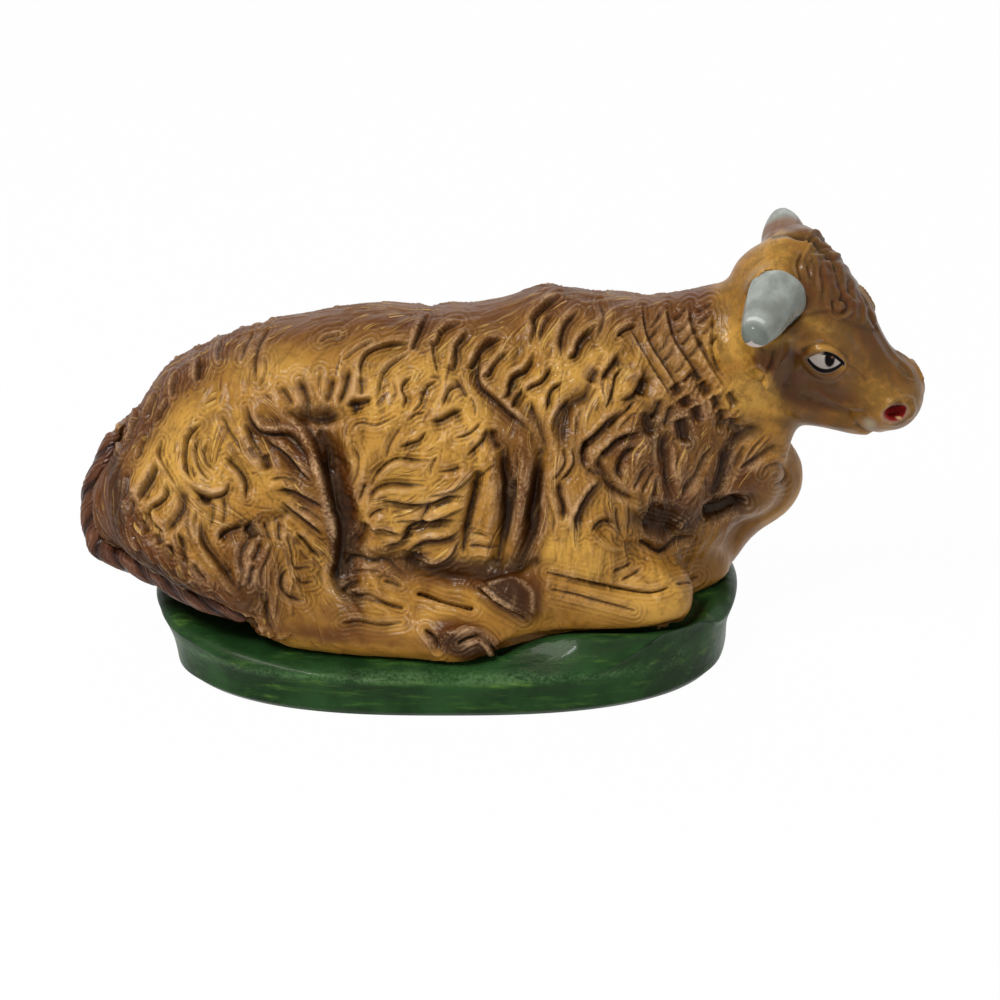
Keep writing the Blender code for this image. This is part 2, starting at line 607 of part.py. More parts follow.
def base_mound(name, lift=0.0):
    """Green mound: an upright wall, a soft edge and a top that rises to the animal."""
    turn = np.linspace(0, 2 * math.pi, 72, endpoint=False)
    power = 2 / BASE_SQUARENESS
    plan_x = BASE_LENGTH / 2 * np.sign(np.cos(turn)) * np.abs(np.cos(turn)) ** power
    plan_y = BASE_WIDTH / 2 * np.sign(np.sin(turn)) * np.abs(np.sin(turn)) ** power
    half = BASE_WIDTH / 2
    edge = BASE_EDGE_ROUND
    head_end = np.clip(np.cos(turn), 0, 1) ** 2
    tail_end = np.clip(-np.cos(turn), 0, 1) ** 2
    rim = BASE_RIM + (BASE_HEAD_END - BASE_RIM) * head_end + (BASE_TAIL_END - BASE_RIM) * tail_end
    profile = [(1 - 0.6 * BASE_FOOT / half, 0 * rim), (1.0, 0 * rim + BASE_FOOT), (1.0, rim - edge)]
    for angle in np.radians([30, 60, 90]):
        profile.append((1 - edge * (1 - math.cos(angle)) / half, rim - edge + edge * math.sin(angle)))
    for share in (0.88, 0.78, 0.66, 0.50, 0.30, 0.12):
        rise = math.cos(share * math.pi / 2) ** 0.8
        profile.append((share, rim + (BASE_CROWN - rim) * rise))
    rings = np.array([np.column_stack([plan_x * scale, plan_y * scale, heights + lift])
                      for scale, heights in profile])
    return tube_mesh(name, rings)


def shell_core():
    """The hollow inside the trunk: the trunk's own profile drawn in by the wall."""
    floor = BASE_CROWN + SHELL_WALL
    top = BACK_HEIGHT - SHELL_WALL
    middle = (top + floor) / 2
    tall = (top - floor) / 2
    wide = TRUNK_WIDTH / 2 - SHELL_WALL
    start = RUMP_X + SHELL_WALL
    profile = ((0.07, 0.40, 0.42), (0.20, 0.78, 0.78), (0.38, 1.0, 0.96), (0.60, 1.0, 0.98),
               (0.74, 0.90, 0.96), (0.86, 0.62, 0.70))
    points = [(start + along * TRUNK_LENGTH, 0, middle) for along, _, _ in profile]
    sizes = [(wide * breadth, tall * height) for _, breadth, height in profile]
    return limb("shell_core", points, sizes, sides=20, steps=3)


def boolean(item, other, operation="DIFFERENCE", overlapping=False):
    """A live Boolean of one object with another, whose own parts may overlap."""
    step = item.modifiers.new(operation.lower() + "_" + other.name, "BOOLEAN")
    step.operation = operation
    step.solver = "EXACT"
    step.use_self = overlapping
    step.object = other


def box_mesh(name, low, high):
    """A plain box between two corners."""
    work = bmesh.new()
    bmesh.ops.create_cube(work, size=1.0)
    low = Vector(low)
    high = Vector(high)
    for vertex in work.verts:
        vertex.co = Vector(((vertex.co[i] + 0.5) * (high[i] - low[i]) + low[i] for i in range(3)))
    mesh = bpy.data.meshes.new(name)
    work.to_mesh(mesh)
    work.free()
    return mesh


def half_space(name, side):
    """A box that holds everything on one side of the parting plane."""
    reach = TRUNK_LENGTH * 1.4
    edge = PARTING_Y + side * FIT_GAP / 2
    low = (-reach, min(edge, side * reach), -reach)
    high = (reach, max(edge, side * reach), reach)
    return box_mesh(name, low, high)


def blend_forms(item, label, passes):
    """Join what overlaps into one even mesh and soften it."""
    blend = item.modifiers.new("blend_" + label, "REMESH")
    blend.mode = "VOXEL"
    blend.voxel_size = VOXEL
    soften = item.modifiers.new("soften_" + label, "SMOOTH")
    soften.factor = 0.5
    soften.iterations = passes


def shape_skin(item, creases):
    """Blend the masses into one skin, draw the creases in it and thin out its faces."""
    blend_forms(item, "masses", BLEND_PASSES)
    boolean(item, creases, overlapping=True)
    blend_forms(item, "creases", CREASE_PASSES)
    thin = item.modifiers.new("thin_faces", "DECIMATE")
    thin.ratio = SKIN_FACES_KEPT


def build():
    clear_scene()
    ochre = paint("painted_hide", (0.45, 0.24, 0.045), 0.32)
    far_ochre = paint("painted_hide_far", (0.42, 0.22, 0.04), 0.32)
    brown = paint("painted_tail", (0.09, 0.035, 0.015), 0.35)
    grey = paint("painted_horn", (0.27, 0.31, 0.30), 0.30)
    green = paint("painted_base", (0.025, 0.095, 0.025), 0.35)
    wire = paint("pin_wire", (0.45, 0.45, 0.45), 0.35, 1.0)

    masses = [trunk(), rump(), haunch(-1), haunch(1), hind_leg(), hoof(hind_hoof_line()), tucked_foot(),
              shoulder(-1), shoulder(1), near_foreleg(), near_shin(), hoof(fore_hoof_line()),
              far_foreleg(), fore_web(), neck(), dewlap(), skull(), jaw(), muzzle(), forelock()]
    for side in (-1, 1):
        masses += [ear(side), eyeball(side), brow(side), nostril_knob(side)]
    animal = joined("animal_masses", masses)

    creases = hide_cutter(add_object("crease_cutter", joined("crease_cutter", all_creases())))
    core = hide_cutter(add_object("core_cutter", shell_core()))
    seat = hide_cutter(add_object("seat_cutter", base_mound("seat_cutter", FIT_GAP)))
    tail_bed = hide_cutter(add_object("tail_bed_cutter", tail("tail_bed_cutter", FIT_GAP)))
    carving = joined("carving_cutter", [nostril(-1), nostril(1), mouth(), cleft(hind_hoof_line()),
                                        cleft(fore_hoof_line())])
    carving = hide_cutter(add_object("carving_cutter", carving))
    sockets = []
    for side, word in ((-1, "near"), (1, "far")):
        sockets.append(hide_cutter(add_object(word + "_socket_cutter",
                                              horn(word + "_socket_cutter", side, FIT_GAP))))
        sockets.append(hide_cutter(add_object(word + "_pin_hole_cutter",
                                              pin(word + "_pin_hole_cutter", side, FIT_GAP))))

    for side, word, material in ((-1, "near", ochre), (1, "far", far_ochre)):
        mesh = animal.copy()
        mesh.name = word + "_half_shell"
        shell = add_object(word + "_half_shell", mesh, material)
        shape_skin(shell, creases)
        half = hide_cutter(add_object(word + "_half_cutter", half_space(word + "_half_cutter", side)))
        for cutter in [seat, tail_bed, core, carving] + sockets:
            boolean(shell, cutter)
        boolean(shell, half, "INTERSECT")

    add_object("tail", tail("tail"), brown)
    for side, word in ((-1, "near"), (1, "far")):
        item = add_object(word + "_horn", horn(word + "_horn", side), grey)
        boolean(item, bpy.data.objects[word + "_pin_hole_cutter"])
        add_object(word + "_horn_pin", pin(word + "_horn_pin", side), wire)
    add_object("base_mound", base_mound("base_mound"), green)


build()
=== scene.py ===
# %% [markdown]
# # A painted cow figurine
# The real figurine is pressed from modelling composition in two halves, carved all over with
# locks of hair, painted in ochre and brown and varnished. This lesson dresses its plain CAD
# model: the carved skin first, then the tail, the horns and the green base, and last the paint.
# Everything is in metres, with the head at +X, the side that the picture shows at -Y and +Z up.

import math

import bmesh
import bpy
import numpy as np
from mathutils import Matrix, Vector
from mathutils.bvhtree import BVHTree


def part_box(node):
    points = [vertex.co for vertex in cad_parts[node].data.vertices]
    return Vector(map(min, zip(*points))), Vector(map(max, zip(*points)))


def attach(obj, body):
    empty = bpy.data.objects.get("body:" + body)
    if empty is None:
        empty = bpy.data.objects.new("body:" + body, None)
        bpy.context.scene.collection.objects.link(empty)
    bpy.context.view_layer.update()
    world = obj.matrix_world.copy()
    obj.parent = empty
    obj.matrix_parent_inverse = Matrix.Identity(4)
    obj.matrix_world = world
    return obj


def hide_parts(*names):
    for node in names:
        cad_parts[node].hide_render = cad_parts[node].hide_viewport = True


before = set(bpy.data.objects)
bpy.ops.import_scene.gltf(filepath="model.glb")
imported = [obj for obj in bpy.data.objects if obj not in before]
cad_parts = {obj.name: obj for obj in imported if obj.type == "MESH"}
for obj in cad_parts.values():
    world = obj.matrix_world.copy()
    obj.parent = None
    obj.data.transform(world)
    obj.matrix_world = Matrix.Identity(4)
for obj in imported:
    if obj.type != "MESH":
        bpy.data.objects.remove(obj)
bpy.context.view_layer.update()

# %% [markdown]
# ## Camera
# The figurine was photographed a little from above, straight on to its side. A long lens far
# away keeps the near and far legs at one scale, as in the picture. The camera comes first,
# because the hair is combed over the picture: a mark at a place in the picture is
# carried along the camera's ray to the skin.

# %% Set the camera
PICTURE = 1000
FILM = 36.0
VIEW_TARGET = Vector((0.0083, 0.0, 0.02296))
VIEW_RISE = math.radians(25)
VIEW_DISTANCE = 0.45
PIXELS_PER_METRE = 6500

view_back = Vector((0, -math.cos(VIEW_RISE), math.sin(VIEW_RISE)))
camera_place = VIEW_TARGET + view_back * VIEW_DISTANCE
camera_data = bpy.data.cameras.new("picture_camera")
camera_data.sensor_width = FILM
camera_data.lens = FILM * PIXELS_PER_METRE * VIEW_DISTANCE / PICTURE
picture_camera = bpy.data.objects.new("picture_camera", camera_data)
bpy.context.collection.objects.link(picture_camera)
picture_camera.location = camera_place
picture_camera.rotation_euler = (-view_back).to_track_quat("-Z", "Y").to_euler()
bpy.context.scene.camera = picture_camera
bpy.context.scene.view_settings.view_transform = "Standard"

SCREEN_UP = Vector((0, math.sin(VIEW_RISE), math.cos(VIEW_RISE)))
VIEW_AXIS = np.array(view_back)


def picture_place(points):
    """Where points show in the picture, in pixels from its top left corner.

    The offset from the target, divided by its depth and times the focal length in pixels.
    """
    offset = points - np.array(VIEW_TARGET)
    depth = VIEW_DISTANCE - offset @ VIEW_AXIS
    scale = PIXELS_PER_METRE * VIEW_DISTANCE / depth
    across = PICTURE / 2 + offset[:, 0] * scale
    down = PICTURE / 2 - offset @ np.array(SCREEN_UP) * scale
    return np.column_stack([across, down])


def picture_ray(across, down):
    """The camera's ray through a place in the picture: its start and its direction."""
    right = (across - PICTURE / 2) / PIXELS_PER_METRE
    up = (PICTURE / 2 - down) / PIXELS_PER_METRE
    through = VIEW_TARGET + Vector((right, 0, 0)) + SCREEN_UP * up
    return camera_place, (through - camera_place).normalized()


print("lens", round(camera_data.lens, 1), "mm")

# %% [markdown]
# ## Floor and lights
# The picture has a white ground and broad soft light, with small sharp glints of varnish along
# the upper edges of the carving. A big panel above and to the left gives the light, two weaker
# ones fill the shadows, and a very small lamp makes the glints. Floor and backdrop are white
# for the camera and in reflections, and the floor still keeps the figurine's shadow.

# %% Make the floor and the lights
FLOOR_SIZE = 3.0
FLOOR_WHITE = (0.86, 0.86, 0.86)
FLOOR_GLOW = 0.98
WORLD_GLOW = 0.22


def mesh_object(name, vertices, faces, smooth=True):
    """A mesh object at the origin from arrays of corners and faces."""
    mesh = bpy.data.meshes.new(name)
    mesh.from_pydata([], [], [])
    counts = np.full(len(faces), faces.shape[1])
    mesh.vertices.add(len(vertices))
    mesh.vertices.foreach_set("co", np.ascontiguousarray(vertices, np.float32).ravel())
    mesh.loops.add(faces.size)
    mesh.loops.foreach_set("vertex_index", np.ascontiguousarray(faces, np.int32).ravel())
    mesh.polygons.add(len(faces))
    mesh.polygons.foreach_set("loop_start", np.cumsum(counts) - counts)
    mesh.update(calc_edges=True)
    mesh.validate()
    if smooth:
        mesh.shade_smooth()
    item = bpy.data.objects.new(name, mesh)
    bpy.context.collection.objects.link(item)
    return item


def add_node(tree, kind, inputs=None, **settings):
    """One node of a kind, its inputs linked to sockets or filled with values."""
    item = tree.nodes.new(kind)
    for name, value in settings.items():
        setattr(item, name, value)
    for key, value in (inputs or {}).items():
        if isinstance(value, bpy.types.NodeSocket):
            tree.links.new(value, item.inputs[key])
        elif isinstance(value, tuple) and len(value) == 3 and item.inputs[key].type == "RGBA":
            item.inputs[key].default_value = (*value, 1)
        else:
            item.inputs[key].default_value = value
    return item


def arithmetic(tree, operation, first, second=0.0, third=0.0, clamp=False):
    """A Math node's result."""
    return add_node(tree, "ShaderNodeMath", {0: first, 1: second, 2: third},
                    operation=operation, use_clamp=clamp).outputs[0]


def product(tree, first, second, clamp=False):
    """Two values multiplied."""
    return arithmetic(tree, "MULTIPLY", first, second, clamp=clamp)


def seen_directly(tree):
    """1 for rays of the camera, of a reflection and of a view through glass."""
    rays = add_node(tree, "ShaderNodeLightPath").outputs
    seen = arithmetic(tree, "MAXIMUM", rays["Is Camera Ray"], rays["Is Glossy Ray"])
    return arithmetic(tree, "MAXIMUM", seen, rays["Is Transmission Ray"])


def white_ground(name):
    """White for the camera and in reflections, plain white paint for the light."""
    material = bpy.data.materials.new(name)
    material.use_nodes = True
    tree = material.node_tree
    tree.nodes.clear()
    paint = add_node(tree, "ShaderNodeBsdfDiffuse", {"Color": FLOOR_WHITE}).outputs[0]
    glow = add_node(tree, "ShaderNodeEmission").outputs[0]
    share = product(tree, seen_directly(tree), FLOOR_GLOW)
    mix = add_node(tree, "ShaderNodeMixShader", {0: share, 1: paint, 2: glow}).outputs[0]
    add_node(tree, "ShaderNodeOutputMaterial", {"Surface": mix})
    return material


half_floor = FLOOR_SIZE / 2
floor_corners = np.array([[-half_floor, -half_floor, 0], [half_floor, -half_floor, 0],
                          [half_floor, half_floor, 0], [-half_floor, half_floor, 0]])
floor = mesh_object("floor", floor_corners, np.array([[0, 1, 2, 3]]), smooth=False)
floor.data.materials.append(white_ground("white_floor"))

world = bpy.data.worlds.new("studio")
world.use_nodes = True
world_tree = world.node_tree
backdrop = world_tree.nodes["Background"]
backdrop.inputs["Color"].default_value = (1, 1, 1, 1)
world_light = arithmetic(world_tree, "MULTIPLY_ADD", seen_directly(world_tree),
                         1 - WORLD_GLOW, WORLD_GLOW)
world_tree.links.new(world_light, backdrop.inputs["Strength"])
bpy.context.scene.world = world

# name, place, width, watts
SOFT_PANELS = (
    ("key_panel", (-0.26, -0.30, 0.55), 0.22, 2.9),
    ("glint_lamp", (-0.14, -0.36, 0.50), 0.03, 0.55),
    ("fill_panel", (0.48, -0.46, 0.20), 0.45, 0.30),
    ("back_panel", (0.10, 0.50, 0.45), 0.50, 1.1),
)
for name, place, width, watts in SOFT_PANELS:
    panel = bpy.data.lights.new(name, "AREA")
    panel.size = width
    panel.energy = watts
    lamp = bpy.data.objects.new(name, panel)
    bpy.context.collection.objects.link(lamp)
    lamp.location = place
    lamp.rotation_euler = (VIEW_TARGET - Vector(place)).to_track_quat("-Z", "Y").to_euler()
print("floor and", len(SOFT_PANELS), "panels")

# %% [markdown]
# ## The bare skin
# The two CAD shells are plain. A carved skin needs many small, even faces, so the shells are
# joined across their seam and meshed again on a fine grid (a voxel remesh), and the facets of
# the CAD model are smoothed away. The hollow inside is sealed, so the new skin has none.

# %% Remesh the two shells into one fine skin
SKIN_GRAIN = 0.00028
PARTING_Y = 0.0010
SEAM_REACH = 0.0003
SMOOTH_PASSES = 30

shells = [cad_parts["near_half_shell"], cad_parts["far_half_shell"]]


def welded_shells(items):
    """One mesh of all shells, with each parting face pushed a little over the seam."""
    work = bmesh.new()
    for item in items:
        side = 1 if item.name.startswith("near") else -1
        piece = bmesh.new()
        piece.from_mesh(item.data)
        bmesh.ops.remove_doubles(piece, verts=piece.verts, dist=1e-6)
        for vertex in piece.verts:
            if abs(vertex.co.y - PARTING_Y) < SEAM_REACH:
                vertex.co.y = PARTING_Y + side * SEAM_REACH
        loose = bpy.data.meshes.new("loose")
        piece.to_mesh(loose)
        piece.free()
        work.from_mesh(loose)
        bpy.data.meshes.remove(loose)
    mesh = bpy.data.meshes.new("welded")
    work.to_mesh(mesh)
    work.free()
    return mesh


def remeshed(mesh, grain):
    """Corners and four-sided faces of a mesh after a voxel remesh."""
    item = bpy.data.objects.new("remesh", mesh)
    bpy.context.collection.objects.link(item)
    step = item.modifiers.new("grid", "REMESH")
    step.mode = "VOXEL"
    step.voxel_size = grain
    fine = item.evaluated_get(bpy.context.evaluated_depsgraph_get()).to_mesh()
    corners = np.empty(len(fine.vertices) * 3, np.float32)
    fine.vertices.foreach_get("co", corners)
    faces = np.empty(len(fine.loops), np.int32)
    fine.loops.foreach_get("vertex_index", faces)
    bpy.data.objects.remove(item)
    return corners.reshape(-1, 3).astype(float), faces.reshape(-1, 4)


def neighbour_pairs(faces):
    """Each edge of the faces once, as pairs of corner numbers."""
    pairs = np.vstack([faces[:, [0, 1]], faces[:, [1, 2]], faces[:, [2, 3]], faces[:, [3, 0]]])
    return np.unique(np.sort(pairs, axis=1), axis=0)


def neighbour_mean(values, pairs):
    """Mean of the values at the corners joined to each corner by an edge."""
    count = len(values)
    table = values.reshape(count, -1)
    ends = np.concatenate([pairs[:, 0], pairs[:, 1]])
    starts = np.concatenate([pairs[:, 1], pairs[:, 0]])
    degree = np.bincount(ends, minlength=count)
    sums = [np.bincount(ends, column[starts], count) / degree for column in table.T]
    return np.column_stack(sums).reshape(values.shape)


def blurred(values, pairs, passes):
    """Values moved half way to their neighbours' mean, several times over."""
    for _ in range(passes):
        values = 0.5 * values + 0.5 * neighbour_mean(values, pairs)
    return values


def corner_normals(points, faces):
    """Unit normals at the corners: the sum of the crossed diagonals of the faces there."""
    a, b, c, d = (points[faces[:, k]] for k in range(4))
    crossed = np.cross(c - a, d - b)
    sums = [np.bincount(faces.ravel(), np.repeat(column, 4), len(points)) for column in crossed.T]
    normals = np.column_stack(sums)
    return normals / np.maximum(np.linalg.norm(normals, axis=1), 1e-12)[:, None]


def hand_rows(text):
    """Rows of a list that was read off the picture: words, numbers and places x,y."""
    def value(word):
        if "," in word:
            return tuple(float(part) for part in word.split(","))
        return word if word[0].isalpha() else float(word)
    return [[value(word) for word in line.split()] for line in text.strip().splitlines()]


# name, place on the picture, shift in pixels, reach
OUTLINE_PULLS = hand_rows("""
seat_foot 122,592 6,-21 42
tail_foot 165,618 0,-25 38
hock_back 213,636 0,-15 34
tail_root 86,452 10,0 34
rump_high 160,385 -5,-5 34
back_hind 380,310 0,-8 44
back_middle 455,304 0,-4 34
withers 545,295 0,-9 36
neck_foot 620,300 0,-5 34
neck_top 668,305 0,-11 30
nape 710,295 0,-7 26
far_shin 752,542 -8,-8 26
""")


def near_side(points):
    """The points with those of the far side mirrored over the parting plane."""
    folded = points.copy()
    folded[:, 1] = PARTING_Y - np.abs(points[:, 1] - PARTING_Y)
    return folded


def pulled(points):
    """Points moved by the pulls: each shift fades with the square of the distance to its place."""
    flat = picture_place(near_side(points))
    moved = points.copy()
    for _, place, shift, reach in OUTLINE_PULLS:
        share = np.exp(-((flat - place) ** 2).sum(axis=1) / reach ** 2)
        moved[:, 0] += share * shift[0] / PIXELS_PER_METRE
        moved[:, 2] -= share * shift[1] / PIXELS_PER_METRE / math.cos(VIEW_RISE)
    return moved


rough_points, skin_faces = remeshed(welded_shells(shells), SKIN_GRAIN)
skin_pairs = neighbour_pairs(skin_faces)
bare_points = pulled(blurred(rough_points, skin_pairs, SMOOTH_PASSES))
bare_normals = corner_normals(bare_points, skin_faces)
outward = np.einsum("ij,ij->i", bare_normals, bare_points - bare_points.mean(axis=0)).mean()
if outward < 0:
    skin_faces = skin_faces[:, ::-1]
    bare_normals = -bare_normals
print("skin of", len(bare_points), "corners and", len(skin_faces), "faces")

# %% [markdown]
# ## The hair, combed from listed marks
# The carver cut the coat lock by lock. Each mark below says how the hair lies at one place of
# the picture: the heading of its tips in degrees (0 to the right, 90 down), a lock's length and
# width in pixels, how far it bends along its length in degrees (clockwise is positive), how
# deep it is cut in millimetres, and its lean: 0 for a rounded leaf, 1 for a shingle that drops
# at one side. The smooth places have a depth of 0. Between the marks everything blends.

# %% Comb marks
# name, across, down, heading, length, width, bend, depth, lean
COMB_MARKS = hand_rows("""
spine_over_rump 236 345 118 40 9 -10 .45 .3
rump_edge_high 185 375 124 44 8 0 .5 .2
rump_edge 145 412 118 44 8 0 .55 .2
rump_edge_low 112 455 106 36 9 0 .6 .1
rump_shade 180 405 112 40 9 0 .55 .2
seat_top 138 468 98 34 10 -10 .85 0
seat_left 122 505 82 30 10 -10 1.05 0
seat 155 512 80 32 11 -15 1.15 0
seat_low 178 550 58 30 10 -10 1.1 0
seat_front 215 575 48 30 10 -5 .95 0
whorl_top 207 408 168 52 12 -75 .6 .6
whorl_left 168 440 100 56 12 -75 .6 .6
whorl_low 188 478 42 50 12 -55 .7 .6
whorl_heart 205 446 100 44 11 -100 .55 .5
whorl_out 222 484 12 34 10 -20 .7 .4
thigh_front 238 440 68 46 10 -15 .75 .3
thigh_fall 226 520 92 40 9 -5 .75 .1
loin 255 365 98 34 9 0 .3 .2
hip_smooth 300 356 110 30 9 0 .12 .2
hip_left 268 395 48 30 9 -25 .6 .1
hip_mid 300 394 74 28 9 0 1 0
hip 328 390 90 28 9 0 1 0
hip_right 350 388 104 28 9 0 .9 0
swirl_high 285 432 14 50 9 55 .8 .3
swirl 300 456 28 46 9 45 .8 .3
thigh_low 290 480 26 44 10 20 .75 .2
thigh_edge 308 510 38 50 11 10 .8 .2
thigh_foot 318 545 60 40 10 0 .7 .2
fan_back 232 556 118 42 8 25 .8 0
fan 252 560 102 42 8 10 .8 0
fan_front 272 556 88 38 8 0 .6 0
back_stripe 330 318 150 34 7 0 .28 .1
back_stripe_mid 430 302 160 34 7 0 .22 .1
back_stripe_front 500 300 165 34 7 0 .22 .1
withers_top 560 290 160 34 7 0 .3 .1
flank_hind 360 372 128 42 12 -45 .75 .8
flank_arc 392 352 160 48 13 -80 .75 .9
flank_edge 348 430 92 36 9 -10 .5 .3
flank 428 350 165 46 14 -85 .8 .9
flank_low 400 392 140 40 12 -60 .6 .7
rib_hind 470 352 150 46 14 -70 .85 .9
ribs 500 372 140 46 14 -65 .9 .9
ribs_front 535 385 132 46 13 -60 .9 .9
rib_low 470 408 135 38 11 -50 .7 .7
belly_top 405 438 158 38 12 -25 .5 .6
belly_top_front 452 440 150 36 11 -25 .5 .6
belly_hind 398 490 184 44 13 12 .55 .7
belly_front 446 490 166 42 13 12 .55 .7
belly_low 400 535 180 44 13 12 .55 .7
belly_low_front 448 540 160 40 12 20 .55 .7
bulge 487 500 140 30 9 -20 .32 .4
bulge_front 521 500 112 34 8 0 .45 .3
bulge_top 515 440 112 34 10 -15 .7 .4
withers 556 318 118 46 12 -25 .75 .7
withers_front 592 322 128 40 11 -45 .75 .8
blade 572 362 112 46 12 -25 .8 .7
blade_front 610 375 128 44 12 -50 .85 .8
neck_foot 648 345 120 30 9 -30 .6 .5
shoulder 552 430 104 50 11 -15 .85 .5
shoulder_front 592 430 116 52 12 -40 .85 .7
shoulder_low 560 480 92 52 11 10 .8 .4
upper_arm 575 520 96 46 10 -10 .6 .3
upper_arm_front 605 505 112 40 11 -20 .6 .4
chest_loop 632 432 150 52 12 -80 1.05 .8
chest_loop_low 622 468 130 50 12 -110 1.05 .8
chest_front 660 450 118 44 10 -40 .9 .5
chest_foot 645 500 100 36 9 -10 .8 .2
breast 690 460 98 40 11 0 .6 .2
breast_low 700 500 118 34 8 0 .55 .1
dewlap 735 455 128 36 8 0 .5 .2
dewlap_front 775 432 140 32 8 0 .35 .2
hock 300 600 60 24 8 0 .2 .1
shank 350 625 5 40 9 0 .1 0
shank_fore 430 640 5 30 9 0 .04 0
tucked_foot 385 575 10 36 8 0 .3 .1
tucked_toe 440 592 10 30 8 0 .05 0
fore_hoof 505 590 150 20 8 0 0 0
elbow 560 556 100 24 8 0 .2 .1
forearm 600 562 25 26 8 0 .1 0
knee 665 595 30 24 8 0 .06 0
shin 610 608 5 30 8 0 .04 0
web 700 565 60 24 8 0 0 0
far_knee 775 475 90 20 8 0 0 0
far_shin 745 530 90 20 8 0 0 0
neck 690 350 118 20 8 0 0 0
neck_low 715 400 118 20 8 0 0 0
nape 735 300 118 20 8 0 0 0
cheek_back 752 395 118 20 8 0 0 0
ear 752 345 118 20 8 0 0 0
crown 790 262 118 20 8 0 0 0
forehead 840 300 118 20 8 0 0 0
cheek 810 380 118 20 8 0 0 0
face 860 370 118 20 8 0 0 0
muzzle 905 395 118 20 8 0 0 0
""")
MARK_SOFTNESS = 0.0010
LEAST_FACING = 0.30


def comb_marks(tree):
    """The marks on the bare skin, near side and mirrored far side, as whole arrays.

    A heading on the picture is stood up on the skin by sliding it along the camera's ray
    until it is square to the skin's normal.
    """
    places = []
    normals = []
    for _, across, down, *_ in COMB_MARKS:
        start, direction = picture_ray(across, down)
        place, normal, _, _ = tree.ray_cast(start, direction)
        if place is None:
            place, normal, _, _ = tree.find_nearest(start + direction * VIEW_DISTANCE)
        places.append(place)
        normals.append(normal)
    places = np.array(places)
    normals = np.array(normals)
    values = np.array([mark[3:] for mark in COMB_MARKS], float)
    turn = np.radians(values[:, 0])[:, None]
    flat = np.cos(turn) * np.array([[1.0, 0, 0]]) - np.sin(turn) * np.array([SCREEN_UP])
    facing = np.maximum(normals @ VIEW_AXIS, LEAST_FACING)
    slide = -np.einsum("ij,ij->i", normals, flat) / facing
    heading = flat + slide[:, None] * VIEW_AXIS
    heading /= np.linalg.norm(heading, axis=1)[:, None]
    mirror = np.array([1.0, -1.0, 1.0])
    far_places = places * mirror + np.array([0, 2 * PARTING_Y, 0])
    sizes = values[:, 1:]
    far_sizes = sizes * np.array([1, 1, -1, 1, 1])
    return (np.vstack([places, far_places]), np.vstack([heading, heading * mirror]),
            np.vstack([sizes, far_sizes]))


def mark_weights(points, places):
    """How much each mark counts at each point: one over the fourth power of their distance."""
    square = (points ** 2).sum(axis=1)[:, None] + (places ** 2).sum(axis=1) - 2 * points @ places.T
    weight = 1 / (np.maximum(square, 0) + MARK_SOFTNESS ** 2) ** 2
    return weight / weight.sum(axis=1)[:, None]


def combed(points, normals, marks):
    """Heading on the skin, and a lock's sizes there, blended from the marks by distance."""
    places, headings, sizes = marks
    weight = mark_weights(points, places)
    heading = weight @ headings
    heading -= np.einsum("ij,ij->i", heading, normals)[:, None] * normals
    heading /= np.maximum(np.linalg.norm(heading, axis=1), 1e-9)[:, None]
    return heading, weight @ sizes


bare_tree = BVHTree.FromPolygons(bare_points.tolist(), skin_faces.tolist())
marks = comb_marks(bare_tree)
print(len(COMB_MARKS), "marks on each side")

# %% [markdown]
# ## Cutting the locks
# A lock is a curved leaf on the skin. Its centre line is an arc, so a point's place along and
# across the lock comes from polar coordinates about the arc's centre. The leaf is broad at its
# root, pointed at its tip, and rises towards the tip, so each tip stands over the next root,
# as shingles do. Where leaves overlap the higher one shows. More than two thousand locks are
# scattered so that none starts too close to another.

# %% Scatter and cut the locks
LOCK_SEED = 11
LOCK_TRIES = 16000
LOCK_SPACING = 0.62
LOCK_FULLNESS = 1.90
LOCK_STRETCH = 1.55
LOCK_WAVE = 0.22
STRAND_WIDTH = 0.00080
STRAND_DEPTH = 0.50
ROOT_CLIMB = 0.18
LEAST_LOCK_DEPTH = 0.00003


def scattered(points, spacing):
    """Numbers of the points kept from a list, none nearer to an earlier one than its spacing."""
    kept = np.empty(len(points), int)
    count = 0
    for candidate in range(len(points)):
        gap = ((points[kept[:count]] - points[candidate]) ** 2).sum(axis=1)
        if count == 0 or gap.min() > spacing[candidate] ** 2:
            kept[count] = candidate
            count += 1
    return kept[:count]


def leaf(along, aside, length, half, bend, lean, wave):
    """Height of one lock from 0 to 1, and the place along and across it.

    The offset is turned into arc length and distance from a bent and wavy centre line.
    Across, the leaf is a flat arch, or for a lean of 1 a ramp that drops at one side, cut
    into strands that meet at the tip. Along, it rises, quickly at first and then slowly.
    """
    curl = bend / length if abs(bend) > 0.02 else 0.02 / length
    run = np.arctan2(along * curl, 1 - aside * curl) / curl
    off = (1 - np.hypot(along * curl, 1 - aside * curl)) / curl
    share = run / length
    inside = (share > 0) & (share < 1)
    share = np.clip(share, 1e-4, 1)
    off = off - half * LOCK_WAVE * np.sin(2 * math.pi * share + wave)
    breadth = half * (1 - share ** 2.2) ** 0.75 + 1e-7
    across = off / breadth
    inside &= np.abs(across) < 1
    across = np.clip(across, -1, 1)
    arch = 1 - across ** 2
    ramp = (0.55 + 0.45 * across) * (1 - np.abs(across) ** 6)
    section = (1 - lean) * arch + lean * ramp
    count = max(2, round(2 * half / STRAND_WIDTH))
    furrow = 1 - STRAND_DEPTH * (0.5 - 0.5 * np.cos(math.pi * across * count + wave))
    climb = np.minimum(1, share / ROOT_CLIMB) * (0.30 + 0.70 * share ** 0.8)
    return np.where(inside, section * furrow * climb, 0), share, across


